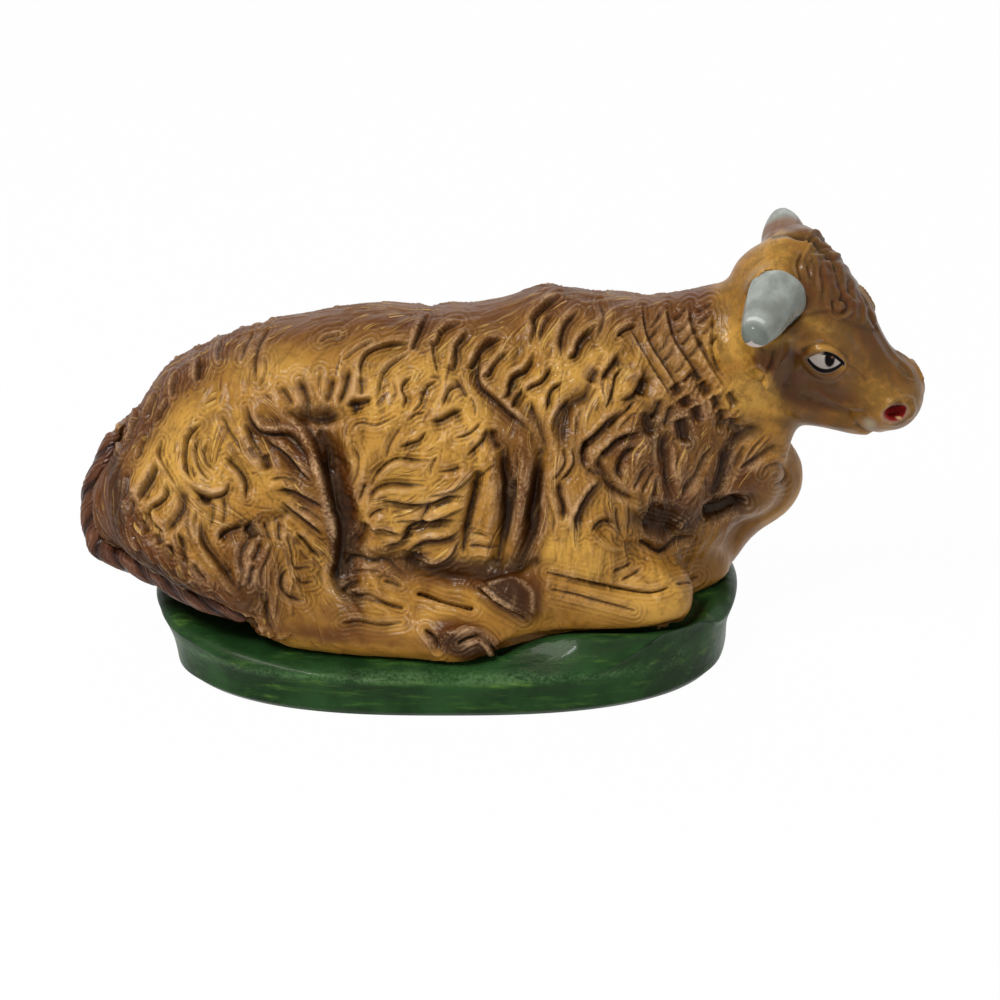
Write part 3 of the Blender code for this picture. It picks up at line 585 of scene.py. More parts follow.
def cut_locks(points, normals, marks):
    """Relief of all locks in metres, with each point's place along and across its lock.

    The points are sorted along X, so that a lock looks only at the slice it can reach.
    """
    chooser = np.random.default_rng(LOCK_SEED)
    picked = chooser.choice(len(points), LOCK_TRIES, replace=False)
    heading, size = combed(points[picked], normals[picked], marks)
    size[:, :2] /= PIXELS_PER_METRE
    size[:, 3] /= 1000
    hairy = size[:, 3] > LEAST_LOCK_DEPTH
    picked, heading, size = picked[hairy], heading[hairy], size[hairy]
    roots = scattered(points[picked], LOCK_SPACING * np.sqrt(size[:, 0] * size[:, 1]))
    order = np.argsort(points[:, 0])
    places, square = points[order], normals[order]
    relief = np.zeros((4, len(points)))
    for number, root in enumerate(roots):
        chance = chooser.uniform(-1, 1, 6)
        reach = size[root, 0] * LOCK_STRETCH * (1 + 0.28 * chance[0])
        half = size[root, 1] / 2 * (LOCK_FULLNESS + 0.35 * chance[1])
        depth = size[root, 3] * (1 + 0.25 * chance[2])
        bend = -math.radians(size[root, 2]) * (1 + 0.25 * chance[3])
        here = points[picked[root]]
        upright = normals[picked[root]]
        turn = math.radians(10 * chance[4])
        side = np.cross(upright, heading[root])
        ahead = heading[root] * math.cos(turn) + side * math.sin(turn)
        side = np.cross(upright, ahead)
        low, high = np.searchsorted(places[:, 0], [here[0] - reach, here[0] + reach])
        offset = places[low:high] - here
        close = np.flatnonzero(((offset ** 2).sum(axis=1) < 1.05 * reach ** 2)
                               & (square[low:high] @ upright > 0.15))
        lean_side = 1 if bend >= 0 else -1
        height, share, across = leaf(offset[close] @ ahead, -lean_side * (offset[close] @ side),
                                     reach, half, -lean_side * bend, size[root, 4],
                                     math.pi * chance[5])
        height *= depth
        wins = height > relief[0, low + close]
        chosen = low + close[wins]
        relief[:, chosen] = height[wins], share[wins], across[wins], np.full(wins.sum(), number)
    unsorted = np.empty_like(relief)
    unsorted[:, order] = relief
    return unsorted, len(roots)


(lock_relief, lock_along, lock_across, lock_number), lock_count = cut_locks(
    bare_points, bare_normals, marks)
lock_relief = blurred(lock_relief[:, None], skin_pairs, 1)[:, 0]
lock_seam = np.abs(neighbour_mean(lock_number[:, None], skin_pairs)[:, 0] - lock_number) > 0.01
lock_seam = np.clip(blurred(lock_seam[:, None].astype(float), skin_pairs, 2)[:, 0] * 1.6, 0, 1)
mark_depths = marks[2][:, 3] / 1000
coat_depth = np.concatenate([mark_weights(part, marks[0]) @ mark_depths
                             for part in np.array_split(bare_points, 10)])
print(lock_count, "locks, deepest", round(lock_relief.max() * 1000, 2), "mm")

# %% [markdown]
# ## Creases and swellings
# Between the big forms the carver cut deep creases: in front of the thigh, under the belly,
# behind the elbow and between the folded legs. Each is a smooth stroke drawn on the picture,
# with a width in pixels and a depth in millimetres. A stroke with a positive depth raises a
# ridge. The creases of the body are mirrored onto the far side, those of the near feet aren't.

# %% Strokes that shape the body
# name, width, depth, 1 for mirrored, places on the picture
BODY_STROKES = hand_rows("""
thigh_hollow 22 -.7 1 326,430 340,470 350,520 356,575
thigh_front 20 .5 1 306,440 322,480 330,520 332,560
belly_foot 9 -.5 1 350,562 385,560 412,568 450,577 495,577 535,562
belly_split 9 -.7 1 479,474 473,510 465,552
bulge_crease 11 -.7 1 503,450 509,485 508,520 497,562
bulge_round 16 .6 1 491,455 494,500 487,550
bulge_front 14 .5 1 521,440 523,490 518,540
elbow_crease 11 -.8 1 541,455 535,500 530,540 518,566
hip_valley 12 -.6 1 258,418 286,426 310,442 328,470
hip_shade 13 -.6 1 292,412 325,415 356,406
flank_hollow 18 -.6 1 352,400 362,425 358,455
blade_edge 13 -.5 1 520,345 512,380 525,415 540,450
thigh_back 10 -.5 1 226,500 240,520 262,523 284,516
forearm_line 5 -.3 0 548,573 585,581 622,588 650,592 670,586
shin_line 4 -.15 0 552,590 592,600 634,611
chest_pit 15 -.7 0 640,520 655,530 672,535
web_line 4 -.6 0 640,541 664,550 684,540
knee_hollow 12 -.6 0 706,520 730,509 753,498
dewlap_line 6 -.7 0 715,512 728,480 744,450
tucked_slit 4 -1.2 0 419,594 442,601 470,608
tucked_line 4 -.7 0 343,590 368,599 402,607
hind_hoof_notch 4 -.9 0 426,630 434,640 438,650
hind_hoof_split 3 -.7 0 460,643 478,637 496,652
fore_hoof_edge 4 -.9 0 478,590 495,604 524,619
heel_line 5 -.5 0 262,596 270,618 275,636
forearm_foot 15 -2 0 506,652 530,645 560,640 600,640 645,638 686,628
seat_foot 18 -1 1 110,552 140,582 175,600 215,612 250,622
toe_swell 10 .7 0 448,634 468,630 486,640 492,652
fore_toe_swell 9 .6 0 492,584 512,578 530,590 532,608
""")
STROKE_STEPS = 7


def smooth_route(places, steps):
    """Points on a Catmull-Rom curve: each stretch blends its two ends and their neighbours."""
    ends = np.vstack([2 * places[0] - places[1], places, 2 * places[-1] - places[-2]])
    share = np.linspace(0, 1, steps, endpoint=False)[:, None]
    parts = [0.5 * (2 * b + (c - a) * share + (2 * a - 5 * b + 4 * c - d) * share ** 2
                    + (3 * b - a - 3 * c + d) * share ** 3)
             for a, b, c, d in zip(ends, ends[1:], ends[2:], ends[3:])]
    return np.vstack(parts + [places[-1:]])


def stroke_frame(flat, places, reach):
    """Distance from a smooth stroke, the side it lies on and the share of the way along.

    The distance is the least over the stroke's straight pieces. The side is 1 above a stroke
    that runs to the right and -1 below it. Points out of reach get a distance without end.
    """
    route = smooth_route(np.array(places, float), STROKE_STEPS)
    low = route.min(axis=0) - reach
    high = route.max(axis=0) + reach
    near = np.flatnonzero(((flat > low) & (flat < high)).all(axis=1))
    spots = flat[near]
    least = np.full(len(near), np.inf)
    side = np.ones(len(near))
    run = np.zeros(len(near))
    for number, (start, end) in enumerate(zip(route[:-1], route[1:])):
        way = end - start
        offset = spots - start
        share = np.clip(offset @ way / (way @ way), 0, 1)
        gap = np.linalg.norm(offset - share[:, None] * way, axis=1)
        closer = gap < least
        least[closer] = gap[closer]
        side[closer] = np.sign(way[1] * offset[closer, 0] - way[0] * offset[closer, 1])
        run[closer] = (number + share[closer]) / (len(route) - 1)
    gaps = np.full(len(flat), np.inf)
    sides = np.ones(len(flat))
    runs = np.zeros(len(flat))
    gaps[near], sides[near], runs[near] = least, side, run
    return gaps, sides, runs


def stroke_gap(flat, places, reach=60.0):
    """Distance from a smooth stroke."""
    return stroke_frame(flat, places, reach)[0]


def stroke_relief(points, normals, strokes):
    """Height of all strokes: a bell across each, gone where the skin turns from the viewer."""
    mirrored = picture_place(near_side(points))
    direct = picture_place(points)
    facing = normals @ VIEW_AXIS
    folded_normals = normals * np.where(points[:, 1:2] > PARTING_Y, [[1, -1, 1]], [[1, 1, 1]])
    folded_facing = folded_normals @ VIEW_AXIS
    height = np.zeros(len(points))
    for _, width, depth, both, *places in strokes:
        gap = stroke_gap(mirrored if both else direct, places, 2 * width)
        seen = np.clip((folded_facing if both else facing) * 3 + 0.5, 0, 1)
        if not both:
            seen = seen * (points[:, 1] < PARTING_Y + 0.016)
        height += depth / 1000 * np.exp(-(gap / (0.5 * width)) ** 2) * seen
    return height


stroke_height = stroke_relief(bare_points, bare_normals, BODY_STROKES)
print(len(BODY_STROKES), "strokes, deepest", round(stroke_height.min() * 1000, 2), "mm")

# %% [markdown]
# ## The locks cut one by one
# The big locks of the photograph are drawn one by one. Each line is the dark cut at the edge
# of a lock: its width in pixels, its depth in millimetres, and the side whose lip stands up:
# 1 on the left of one who walks along the line, -1 on the right, 0 on both.

# %% Cuts between the big locks
RUMP_CUTS = hand_rows("""
5 .8 1 196,380 197,370 199,358
4 .6 1 172,396 172,385 176,374
4 .6 1 145,420 150,406 155,394
4 .5 1 154,422 160,411 167,400
4 .6 1 128,440 132,425 137,412
4 .6 1 121,452 119,436 123,420
4 .5 1 136,458 141,445 147,430
4 .5 1 217,360 217,350 220,340
4 .6 0 241,360 243,350 247,341 252,332
5 .7 0 256,380 254,364 256,350 261,338 268,328
3 .3 0 260,385 264,375 266,367 265,358
5 .8 1 192,480 186,469 184,456 185,442 191,431 199,424
4 .6 1 208,479 200,470 196,460 194,449 197,439
4 .4 1 214,470 206,462 203,452 206,442
4 .5 1 176,486 168,474 162,463 158,452 161,441
6 1 1 190,485 197,491 206,495 216,496 226,492 229,484
9 1.1 0 197,492 205,498 212,497
5 .7 0 221,416 226,428 233,440 240,450
6 1 1 246,498 246,485 240,473 231,464 225,458
7 1 -1 155,460 153,470 147,481 141,493 140,501
6 .9 -1 165,481 165,492 160,500 152,506 148,511
5 .9 1 148,510 149,517 154,525 161,532
5 .8 0 132,499 130,508 128,518
5 .7 0 127,472 125,484 123,500
5 .8 0 140,519 142,526 144,533
10 1.2 0 175,485 181,495 182,506 177,516 171,524 165,532
7 1 0 153,533 156,539 158,545
6 1.1 0 167,544 170,551 172,558
7 1.2 0 178,534 181,544 183,555 187,567
4 .5 0 188,505 186,520 189,535 192,548
4 .5 0 196,510 195,525 196,540
8 1.1 1 236,588 226,574 216,560 206,547 201,534 201,520
6 .9 0 193,563 199,573 207,583
9 1 1 219,540 225,532 234,528 244,525
4 .5 0 213,500 214,514 211,527
4 .5 0 224,498 226,512 223,524
""")
HIP_CUTS = hand_rows("""
9 1.3 1 246,406 249,419 256,430 266,434 277,434 287,434 296,440 304,452 310,467
9 1 1 328,490 324,470 318,448 309,431 300,420 289,411
6 .8 1 262,464 257,452 250,440 244,424
9 1.1 0 262,455 265,463 267,472
7 .9 0 249,447 253,454 257,460
6 1 1 262,438 271,446 281,452 289,459 295,467 301,474 310,481
6 .8 0 281,386 287,395 293,405
8 1.2 0 299,379 304,389 307,400 309,412
5 .5 0 311,384 314,394 316,405
5 .5 0 320,372 319,384 321,397
7 1.1 0 333,376 331,389 327,403
7 1.2 0 349,368 347,380 344,392 339,405
6 .9 0 361,376 362,386 361,396
8 1.1 1 346,404 354,401 363,400 372,398
15 1.2 0 296,412 310,416 325,416 340,412
4 .5 0 271,480 284,479 298,483
7 .9 1 276,491 288,491 300,496 311,502 324,508
6 1 1 282,503 291,512 302,520 312,527 321,535
6 .9 1 297,534 305,541 312,550 319,558
4 .4 0 300,508 310,514 322,521
10 1.2 0 246,524 252,529 257,537
5 .8 0 265,522 268,530 272,540
5 .8 0 279,522 280,531 281,541
6 .9 0 252,534 247,543 242,552 240,564 243,577
5 .7 0 262,540 258,552 252,562
6 .9 0 254,565 251,574 249,586
4 .5 0 272,545 268,558 262,572 262,585
5 .8 0 287,570 283,579 283,589 290,597 303,601
4 .5 0 294,552 293,562 298,569 311,568
4 .4 0 296,577 303,583 313,582
4 .4 0 288,535 291,545 293,556
""")
FLANK_CUTS = hand_rows("""
5 .8 1 362,378 361,366 365,355 373,349 386,345 396,343 410,343
3 .4 1 344,359 352,353 362,346 373,341
3 .4 1 320,341 328,336 340,334
4 .6 1 378,402 379,386 382,374 388,365 396,359 409,352
6 .8 1 411,350 415,341 420,329 427,315
5 .8 1 429,341 437,340 441,331 450,324 460,322
4 .5 1 438,372 435,360 433,349 433,342
6 .9 1 444,366 452,367 455,358 456,346 462,337 468,331
6 1.2 1 465,364 471,362 476,355 480,348 490,340 500,338
9 1.2 1 479,355 476,370 479,384 489,395 502,406 515,418 530,430
6 .9 1 481,377 489,373 492,366 500,356 508,351
7 1.2 1 502,400 509,393 511,382 515,374 524,369 530,361 533,352
5 .8 1 443,406 446,396 450,388 458,383
10 1 1 430,421 441,420 451,414 462,409
6 .8 0 455,377 462,387 467,397
5 .7 1 403,408 406,398 402,389 405,381 411,377
4 .5 1 421,401 424,391 429,384 436,381
4 .5 0 394,400 396,390 392,380
4 .5 1 413,412 420,404 422,396
4 .6 -1 351,432 355,425 362,422 375,425 386,421 396,416
4 .4 0 386,458 389,447 394,437 401,427
5 .8 1 400,447 411,443 419,440 426,432
4 .5 1 456,438 466,435 474,430 480,423
6 .8 1 468,455 477,446 484,438 487,428
8 1 0 491,428 494,440 500,450
4 .5 0 353,447 358,459 357,473 351,486
4 .4 1 408,420 416,414 424,412
4 .5 1 470,395 474,404 475,415
""")
BELLY_CUTS = hand_rows("""
6 .9 -1 371,486 377,474 385,466 392,461 401,459 414,461 430,461
5 .6 0 440,472 452,471 463,467
7 1 -1 369,504 373,494 380,488 392,485 406,486 424,486
4 .6 1 430,497 445,494 456,490 466,483 476,472
7 1 1 383,501 396,504 411,506 426,506 437,503 448,499 463,498
4 .8 0 429,505 427,511 424,517 420,523
5 .7 0 369,519 374,514 383,510
6 .8 1 398,522 412,523 428,523 441,520 453,515 464,510
6 .8 1 371,532 380,531 389,533 401,535
9 1 1 403,540 409,530 420,527 435,525 457,523
8 1 1 385,548 397,546 405,540 410,532
9 1.1 1 408,555 418,549 427,545 438,544 450,541 459,534
5 .7 1 420,566 434,566 446,562 454,555 458,546
9 1.1 0 479,472 476,486 473,500 469,515 466,530 463,556
11 1.2 0 502,448 505,468 508,486 507,502 504,520 497,557
4 .5 0 470,538 479,535 489,537
5 .7 0 469,550 480,547 496,548
4 .5 0 479,479 486,472 494,465
14 1.2 0 416,556 412,568
6 .8 0 365,483 361,494 357,504
11 1 0 364,523 362,537 354,549
3 .3 0 430,475 432,466 436,458
""")
SHOULDER_CUTS = hand_rows("""
6 1 1 530,342 534,327 533,317 540,309 550,300 560,296
4 .5 1 540,340 541,328 546,318 553,311
8 .8 1 561,354 561,340 564,328 569,319 578,311
7 1.2 1 569,358 576,352 579,342 585,334 596,326
3 .5 0 597,336 602,325 604,313 600,302
9 1.1 0 591,383 594,374 599,368
8 1.2 1 602,380 608,370 614,362 620,353
5 .9 1 618,335 625,329 636,325
5 .8 1 607,407 611,397 614,386 617,375 623,367
9 1.1 1 622,400 632,397 640,389 645,378 648,366
6 1 1 524,392 530,386 541,381 547,373 551,366
6 1 1 547,410 549,397 553,388 563,382
5 .9 1 553,432 556,417 561,408 569,399
13 1.2 0 566,452 564,432 567,414 573,403 585,396 592,385
4 .5 0 576,452 577,432 579,417 584,407
8 1.3 1 584,455 587,443 595,436 602,429 610,421 623,411
8 1.3 1 600,458 608,451 617,442 627,437 641,433
4 .6 0 610,428 618,419 628,411 636,402
4 .5 0 620,430 629,420 637,413
8 .9 0 531,398 532,411 538,424 543,437 548,458
5 .7 1 512,408 516,398 520,388
8 1.1 0 590,440 586,447 586,457 587,470
6 .9 0 589,469 596,474 604,476
8 1.1 0 603,455 601,464 605,473 609,483 616,490 628,497 640,501
7 1.2 0 640,449 630,454 624,462 621,472 624,482
4 .6 0 634,490 640,479 647,468
4 .6 0 643,492 649,482 655,470
5 .8 0 659,476 657,489 654,502
8 1 0 560,481 560,495 564,508 563,522
9 1.2 1 578,532 577,520 581,509 587,499 594,489 603,480
9 .8 1 592,531 598,525 606,521 615,523
5 .7 1 562,481 570,472 575,461 573,449
4 .6 1 553,480 561,471 566,460 563,450
4 .5 0 545,492 549,506 554,519 553,532
4 .5 0 617,508 619,522 622,537
4 .5 0 629,505 630,518 628,532
11 1.2 0 541,458 537,476 534,496 530,516 527,534 516,558
4 .5 0 517,455 516,470 514,486 512,500
""")
NECK_CUTS = hand_rows("""
5 .7 1 670,392 661,376 650,361 641,346 634,330
5 .7 1 680,388 670,371 661,357 652,343 646,326 643,308
6 .8 1 706,384 695,368 684,352 675,338 670,322 667,306
5 .7 1 724,386 712,366 703,350 696,336 691,320 690,304
4 .5 1 727,380 716,366 711,350 712,332 714,314
4 .5 0 650,337 656,331 661,322
4 .5 0 652,326 657,319 661,310
4 .5 0 660,350 666,343 670,333
4 .5 0 664,360 671,353 674,344
4 .5 0 674,318 680,314 687,306
4 .5 0 677,331 683,327 691,318
4 .5 0 682,344 688,339 695,330
4 .5 0 690,356 696,350 701,342
4 .5 0 697,311 704,307 711,303
4 .5 0 698,322 705,318 712,311
4 .5 0 702,334 708,329 713,321
4 .4 0 706,346 712,341 718,334
4 .5 0 676,372 682,367 686,359
4 .5 0 682,383 689,377 692,369
10 1.2 0 674,384 678,389 682,394
10 1.3 0 684,397 687,402 690,408
9 1.2 0 692,370 697,376 702,382
12 1.4 0 701,381 706,389 711,396
9 1.3 0 696,406 699,415 701,424
9 1.2 0 714,396 718,403 720,412
8 1.1 0 729,392 734,399 739,408
12 1.3 0 732,420 735,427 737,436
14 1.4 0 681,418 685,430 688,444
10 1.2 0 722,410 724,420 722,432
13 1.4 0 653,412 652,424 658,436
15 1.3 0 646,374 646,385 642,396
8 1.1 0 662,398 661,409 656,420
8 1.1 0 674,404 671,416 667,430
12 1.2 0 669,432 666,452 668,476 673,500
""")
CHEST_CUTS = hand_rows("""
5 .8 0 684,496 691,485 698,474 704,461 711,449
10 1.2 0 729,446 726,460 723,476 718,490 713,501
16 1.6 0 706,519 717,513 730,508 747,503
6 .9 0 741,468 752,463 762,456 772,450 783,445
10 1.1 0 732,448 742,437 755,429 771,424 791,423
3 .4 0 746,461 755,447 766,436
3 .4 0 753,460 764,446 775,434
3 .4 0 764,452 775,441 786,431
3 .4 0 774,446 786,437 798,429
5 .8 0 640,541 650,546 660,551 669,547 679,541 692,537
26 1.2 0 646,518 660,521 680,526
5 .5 0 692,470 688,484 684,496
5 .5 0 705,478 709,490 706,503
5 .5 0 676,440 680,456 678,472
4 .4 0 762,474 766,468 774,464 783,466 787,474 783,482 774,485
""")
LEG_CUTS = hand_rows("""
16 1.3 1 345,592 336,578 340,556 342,530 336,505 331,480 327,452 318,430
5 .6 0 345,566 355,561 370,563 386,562 396,569 407,576
7 .9 0 341,590 350,584 362,581
5 .6 0 384,581 393,583 402,587
4 .5 0 356,596 370,595 388,604 402,608
4 .4 0 352,573 366,571 380,572
5 .9 -1 419,594 430,596 442,601 456,603 471,609
5 .6 1 343,623 360,621 380,624 402,622
4 .5 0 262,612 268,603 266,592
5 .6 0 272,634 266,620 268,606
5 .9 0 425,630 433,639 438,649
4 .9 0 458,644 468,638 480,635 490,643 496,653
6 1 1 477,588 487,597 500,607 524,619
4 .6 1 548,573 585,581 622,588 650,592 668,588
3 .4 0 552,590 592,600 634,611
4 .5 0 612,572 622,568 630,563
4 .5 0 622,580 633,574 641,568
4 .5 0 676,584 688,582 698,577
""")
CUT_GROUPS = (RUMP_CUTS, HIP_CUTS, FLANK_CUTS, BELLY_CUTS, SHOULDER_CUTS, NECK_CUTS, CHEST_CUTS, LEG_CUTS)
CUT_REACH = 32.0
LIP_SHARE = 0.55
LIP_REACH = 8.0
SLOPE_REACH = 2.1
STRAND_PITCH = 4.6
STRAND_RELIEF = 0.00015
STRAND_FADE = 20.0
CUT_FADE = 20.0
DEEPEST_CUT = 0.0022


def cut_relief(points, normals, groups):
    """Height of all cuts in metres, washes and painted shade beside and in them, and highlights.

    On the side of the lip a cut ends steeply and the lip falls away over some pixels. On
    the other side the skin climbs out slowly, as where one lock lies on the next. A cut with
    no lip climbs out evenly. Strands run beside a cut: a cosine of the distance to it. Beside
    a cut lie brown wash and painted shade, in it dark wash and painted shade, and along the
    top of its lip a painted highlight.
    """
    flat = picture_place(near_side(points))
    folded = normals * np.where(points[:, 1:2] > PARTING_Y, [[1, -1, 1]], [[1, 1, 1]])
    seen = np.clip(folded @ VIEW_AXIS * 3 + 0.3, 0, 1)
    height = np.zeros(len(points))
    brown_wash_and_shade = np.zeros(len(points))
    dark_wash_and_shade = np.zeros(len(points))
    crest_highlight = np.zeros(len(points))
    nearest = np.full(len(points), 99.0)
    for width, depth, lip, *places in (row for group in groups for row in group):
        gap, side, run = stroke_frame(flat, places, CUT_REACH)
        near = np.flatnonzero(np.isfinite(gap))
        gap, side, run = gap[near], side[near] * lip, run[near]
        ends = np.clip(np.minimum(run, 1 - run) * 4.5 + 0.15, 0, 1)
        reach = width * np.where(side > 0, 0.34, np.where(side < 0, SLOPE_REACH, 0.80))
        slope = np.exp(-(gap / reach) ** np.where(side < 0, 1.0, 2.0))
        stands = np.where(side >= 0, LIP_SHARE, 0.0) * np.where(lip == 0, 0.5, 1.0)
        raised = stands * np.exp(-np.maximum(gap - 0.3 * width, 0) / LIP_REACH) * (1 - slope)
        fade = np.clip(1.5 - gap / CUT_FADE, 0, 1) * ends
        height[near] += depth * (raised - slope) * fade
        # Brown wash and painted shade beside the cut, widest on the side that climbs out.
        shade = np.exp(-(gap / np.where(side > 0, 0.5 * width, 1.1 * width)) ** 1.4) * ends
        shade *= min(1.0, max(0.35, (width - 2) / 6))
        brown_wash_and_shade[near] = np.maximum(brown_wash_and_shade[near], shade * min(1.0, depth))
        # Dark wash and painted shade in the cut itself.
        line = np.exp(-(gap / (0.36 * width)) ** 2) * ends
        dark_wash_and_shade[near] = np.maximum(dark_wash_and_shade[near], line * min(1.0, 0.75 * depth))
        # A painted highlight along the top of the lip.
        rim = np.exp(-((gap - 0.75 * width) / 2.4) ** 2) * ends * (side >= 0)
        crest_highlight[near] = np.maximum(crest_highlight[near], rim * min(1.0, depth))
        nearest[near] = np.minimum(nearest[near], gap)
    strands = np.cos(2 * math.pi * nearest / STRAND_PITCH) * np.clip(1 - nearest / STRAND_FADE, 0, 1)
    height = np.maximum(height / 1000, -DEEPEST_CUT) - STRAND_RELIEF * strands
    return height * seen, brown_wash_and_shade * seen, dark_wash_and_shade * seen, crest_highlight * seen


cut_height, cut_shade, cut_line_shade, cut_crest_highlight = cut_relief(bare_points, bare_normals, CUT_GROUPS)
print(sum(len(group) for group in CUT_GROUPS), "cuts,", round(cut_height.min() * 1000, 2), "to",
      round(cut_height.max() * 1000, 2), "mm")

# %% [markdown]
# ## Plaits on the neck
# Six folds run down the neck, each a row of short slanting strands, and near the throat the
# cuts between the strands are so deep that they look like holes. The fold is a ramp that drops
# at its lower edge, and the strands are a slanted wave on it.

# %% Carve the neck
PLAIT_TOP = (648, 300)
PLAIT_HEADING = 56
PLAIT_PITCH = 17.5
PLAIT_STRAND = 7.5
PLAIT_SLANT = 62
PLAIT_DEPTH = 0.00030
PLAIT_PATCH = ((703, 352), (62, 30), 52)
PIT_PATCH = ((712, 398), (38, 17), 48)


def smooth_step(share):
    """0 up to 0, 1 from 1, and between them a cubic with level ends."""
    share = np.clip(share, 0, 1)
    return share * share * (3 - 2 * share)


def patch(flat, centre, half_sizes, heading, edge=0.25):
    """Soft oval mask on the picture: 1 inside, 0 outside, with a smooth edge between."""
    turn = math.radians(heading)
    offset = flat - np.array(centre, float)
    along = offset[:, 0] * math.cos(turn) + offset[:, 1] * math.sin(turn)
    aside = -offset[:, 0] * math.sin(turn) + offset[:, 1] * math.cos(turn)
    radius = np.hypot(along / half_sizes[0], aside / half_sizes[1])
    return smooth_step((1 + edge - radius) / (2 * edge))


def plait_relief(points):
    """Ramps across the rows times a slanted wave along them, inside the neck's patch."""
    flat = picture_place(near_side(points))
    flat = flat + 2.6 * np.sin(flat[:, ::-1] / 8.5) + 1.4 * np.sin(flat[:, ::-1] / 3.7 + 1)
    turn = math.radians(PLAIT_HEADING)
    offset = flat - np.array(PLAIT_TOP, float)
    across = (-offset[:, 0] * math.sin(turn) + offset[:, 1] * math.cos(turn)) / PLAIT_PITCH
    slant = math.radians(PLAIT_HEADING + PLAIT_SLANT)
    strand = (-offset[:, 0] * math.sin(slant) + offset[:, 1] * math.cos(slant)) / PLAIT_STRAND
    row = np.floor(across)
    inside = across - row
    fold = np.clip(inside / 0.82, 0, 1) * np.clip((1 - inside) / 0.18, 0, 1)
    wave = 0.5 + 0.5 * np.cos(2 * math.pi * (strand + 0.37 * row))
    pits = patch(flat, *PIT_PATCH)
    height = patch(flat, *PLAIT_PATCH) * (fold * 0.8 + wave * fold * 0.45 - 0.35)
    height -= pits * 1.3 * (1 - wave) ** 1.5 * np.sin(math.pi * inside)
    return height * PLAIT_DEPTH


plait_height = plait_relief(bare_points)
print("plaits up to", round(plait_height.max() * 1000, 2), "mm")

# %% [markdown]
# ## The head
# The head is turned a little towards the viewer, so it has its own axes: forward to the muzzle,
# sideways to the far cheek and up to the forehead, from the poll. A point of its far half is
# folded over the head's middle plane, and then one drawing in picture pixels serves both sides.
# The drawing is kept on the mesh as a UV map, so that the painted eye stays sharp.

# %% Sculpt the head
POLL = np.array([0.0500, 0.0005, 0.0572])
HEAD_PITCH = math.radians(43)
HEAD_YAW = math.radians(10)
HEAD_ROLL = math.radians(17)
HEAD_LENGTH = 0.0275
HEAD_MIDDLE_SHARE = 0.40
HEAD_REACH = 0.0190
HEAD_EDGE = 0.0030


def head_axes():
    """Unit vectors to the muzzle, to the far cheek and to the forehead."""
    level = np.array([math.cos(HEAD_YAW), -math.sin(HEAD_YAW), 0])
    side = np.array([math.sin(HEAD_YAW), math.cos(HEAD_YAW), 0])
    forward = level * math.cos(HEAD_PITCH) - np.array([0, 0, math.sin(HEAD_PITCH)])
    raised = np.cross(forward, side)
    upward = raised * math.cos(HEAD_ROLL) - side * math.sin(HEAD_ROLL)
    sideways = side * math.cos(HEAD_ROLL) + raised * math.sin(HEAD_ROLL)
    return forward, sideways, upward


def folded_head(points):
    """The points with those beyond the head's middle plane mirrored over it."""
    sideways = head_axes()[1]
    beyond = np.maximum((points - POLL) @ sideways, 0)
    return points - 2 * beyond[:, None] * sideways


def head_middle():
    """The middle of the head, on its axis."""
    return POLL + head_axes()[0] * HEAD_LENGTH * HEAD_MIDDLE_SHARE


def head_mask(points):
    """1 on the head and 0 on the neck, by distance from the head's middle."""
    gap = np.linalg.norm(points - head_middle(), axis=1)
    return smooth_step((HEAD_REACH - gap) / HEAD_EDGE)


# name, width, height in millimetres, places on the picture
HEAD_STROKES = hand_rows("""
lid_crease 4.5 -.3 803,351 814,345 828,344 841,350 849,358
upper_lid 4 .34 803,357 813,351 828,349 840,355 847,363
lower_lid 4 .3 804,361 812,370 823,376 835,375 845,367
under_eye 7 -.25 802,370 815,381 832,384 846,376
brow 9 .35 794,336 808,330 826,329 842,336 852,347
eye_corner 4.5 -.22 848,364 857,371 866,380
temple 11 -.35 790,345 792,362 788,384
cheek_bone 6 .26 812,387 828,397 846,405 862,407
cheek_hollow 8 -.32 804,396 824,406 848,414
jaw_edge 7 .22 778,412 800,421 828,424 852,427
lip_line 3.6 -.42 905,431 893,434 878,435 864,431 856,425
chin 7 .3 868,441 880,444 892,441
nostril_hollow 9 -.95 888,414 895,412 904,412
nostril_top 4.5 .42 884,409 891,401 901,397 911,399
nostril_front 4.5 .25 912,402 914,409 911,416
nostril_foot 4.5 .22 882,416 886,423 896,424
nose_wrinkle 5 .25 886,376 890,386 898,392
knob_crease 4.2 -.22 899,367 906,374 919,378
knob_lip 3 .2 899,371 906,378 919,382
bridge_edge 5 .2 862,318 874,338 886,358 896,368
ear_fold 4 .42 748,371 756,366 764,370 766,377
ear_crease 4.5 -.55 774,352 771,364 766,374 761,381
horn_foot 4 -.3 747,296 746,318 752,338 762,350
forelock_1 3.6 .34 799,254 794,265 797,276 797,287
forelock_2 3.6 .3 806,252 802,262 806,272 809,283
forelock_3 4 .36 813,254 817,264 817,276 819,291
forelock_4 3 .26 809,259 812,269 812,282
forelock_5 6 .2 822,262 827,277 828,292 826,307
forelock_6 6 .14 802,286 805,298 804,311
forelock_7 6 .15 814,287 817,298 816,308
forelock_gap_1 3 -.26 801,256 798,267 801,279
forelock_gap_2 3 -.24 811,262 808,270 812,280
forelock_gap_3 3.4 -.16 821,268 823,282 822,300
""")
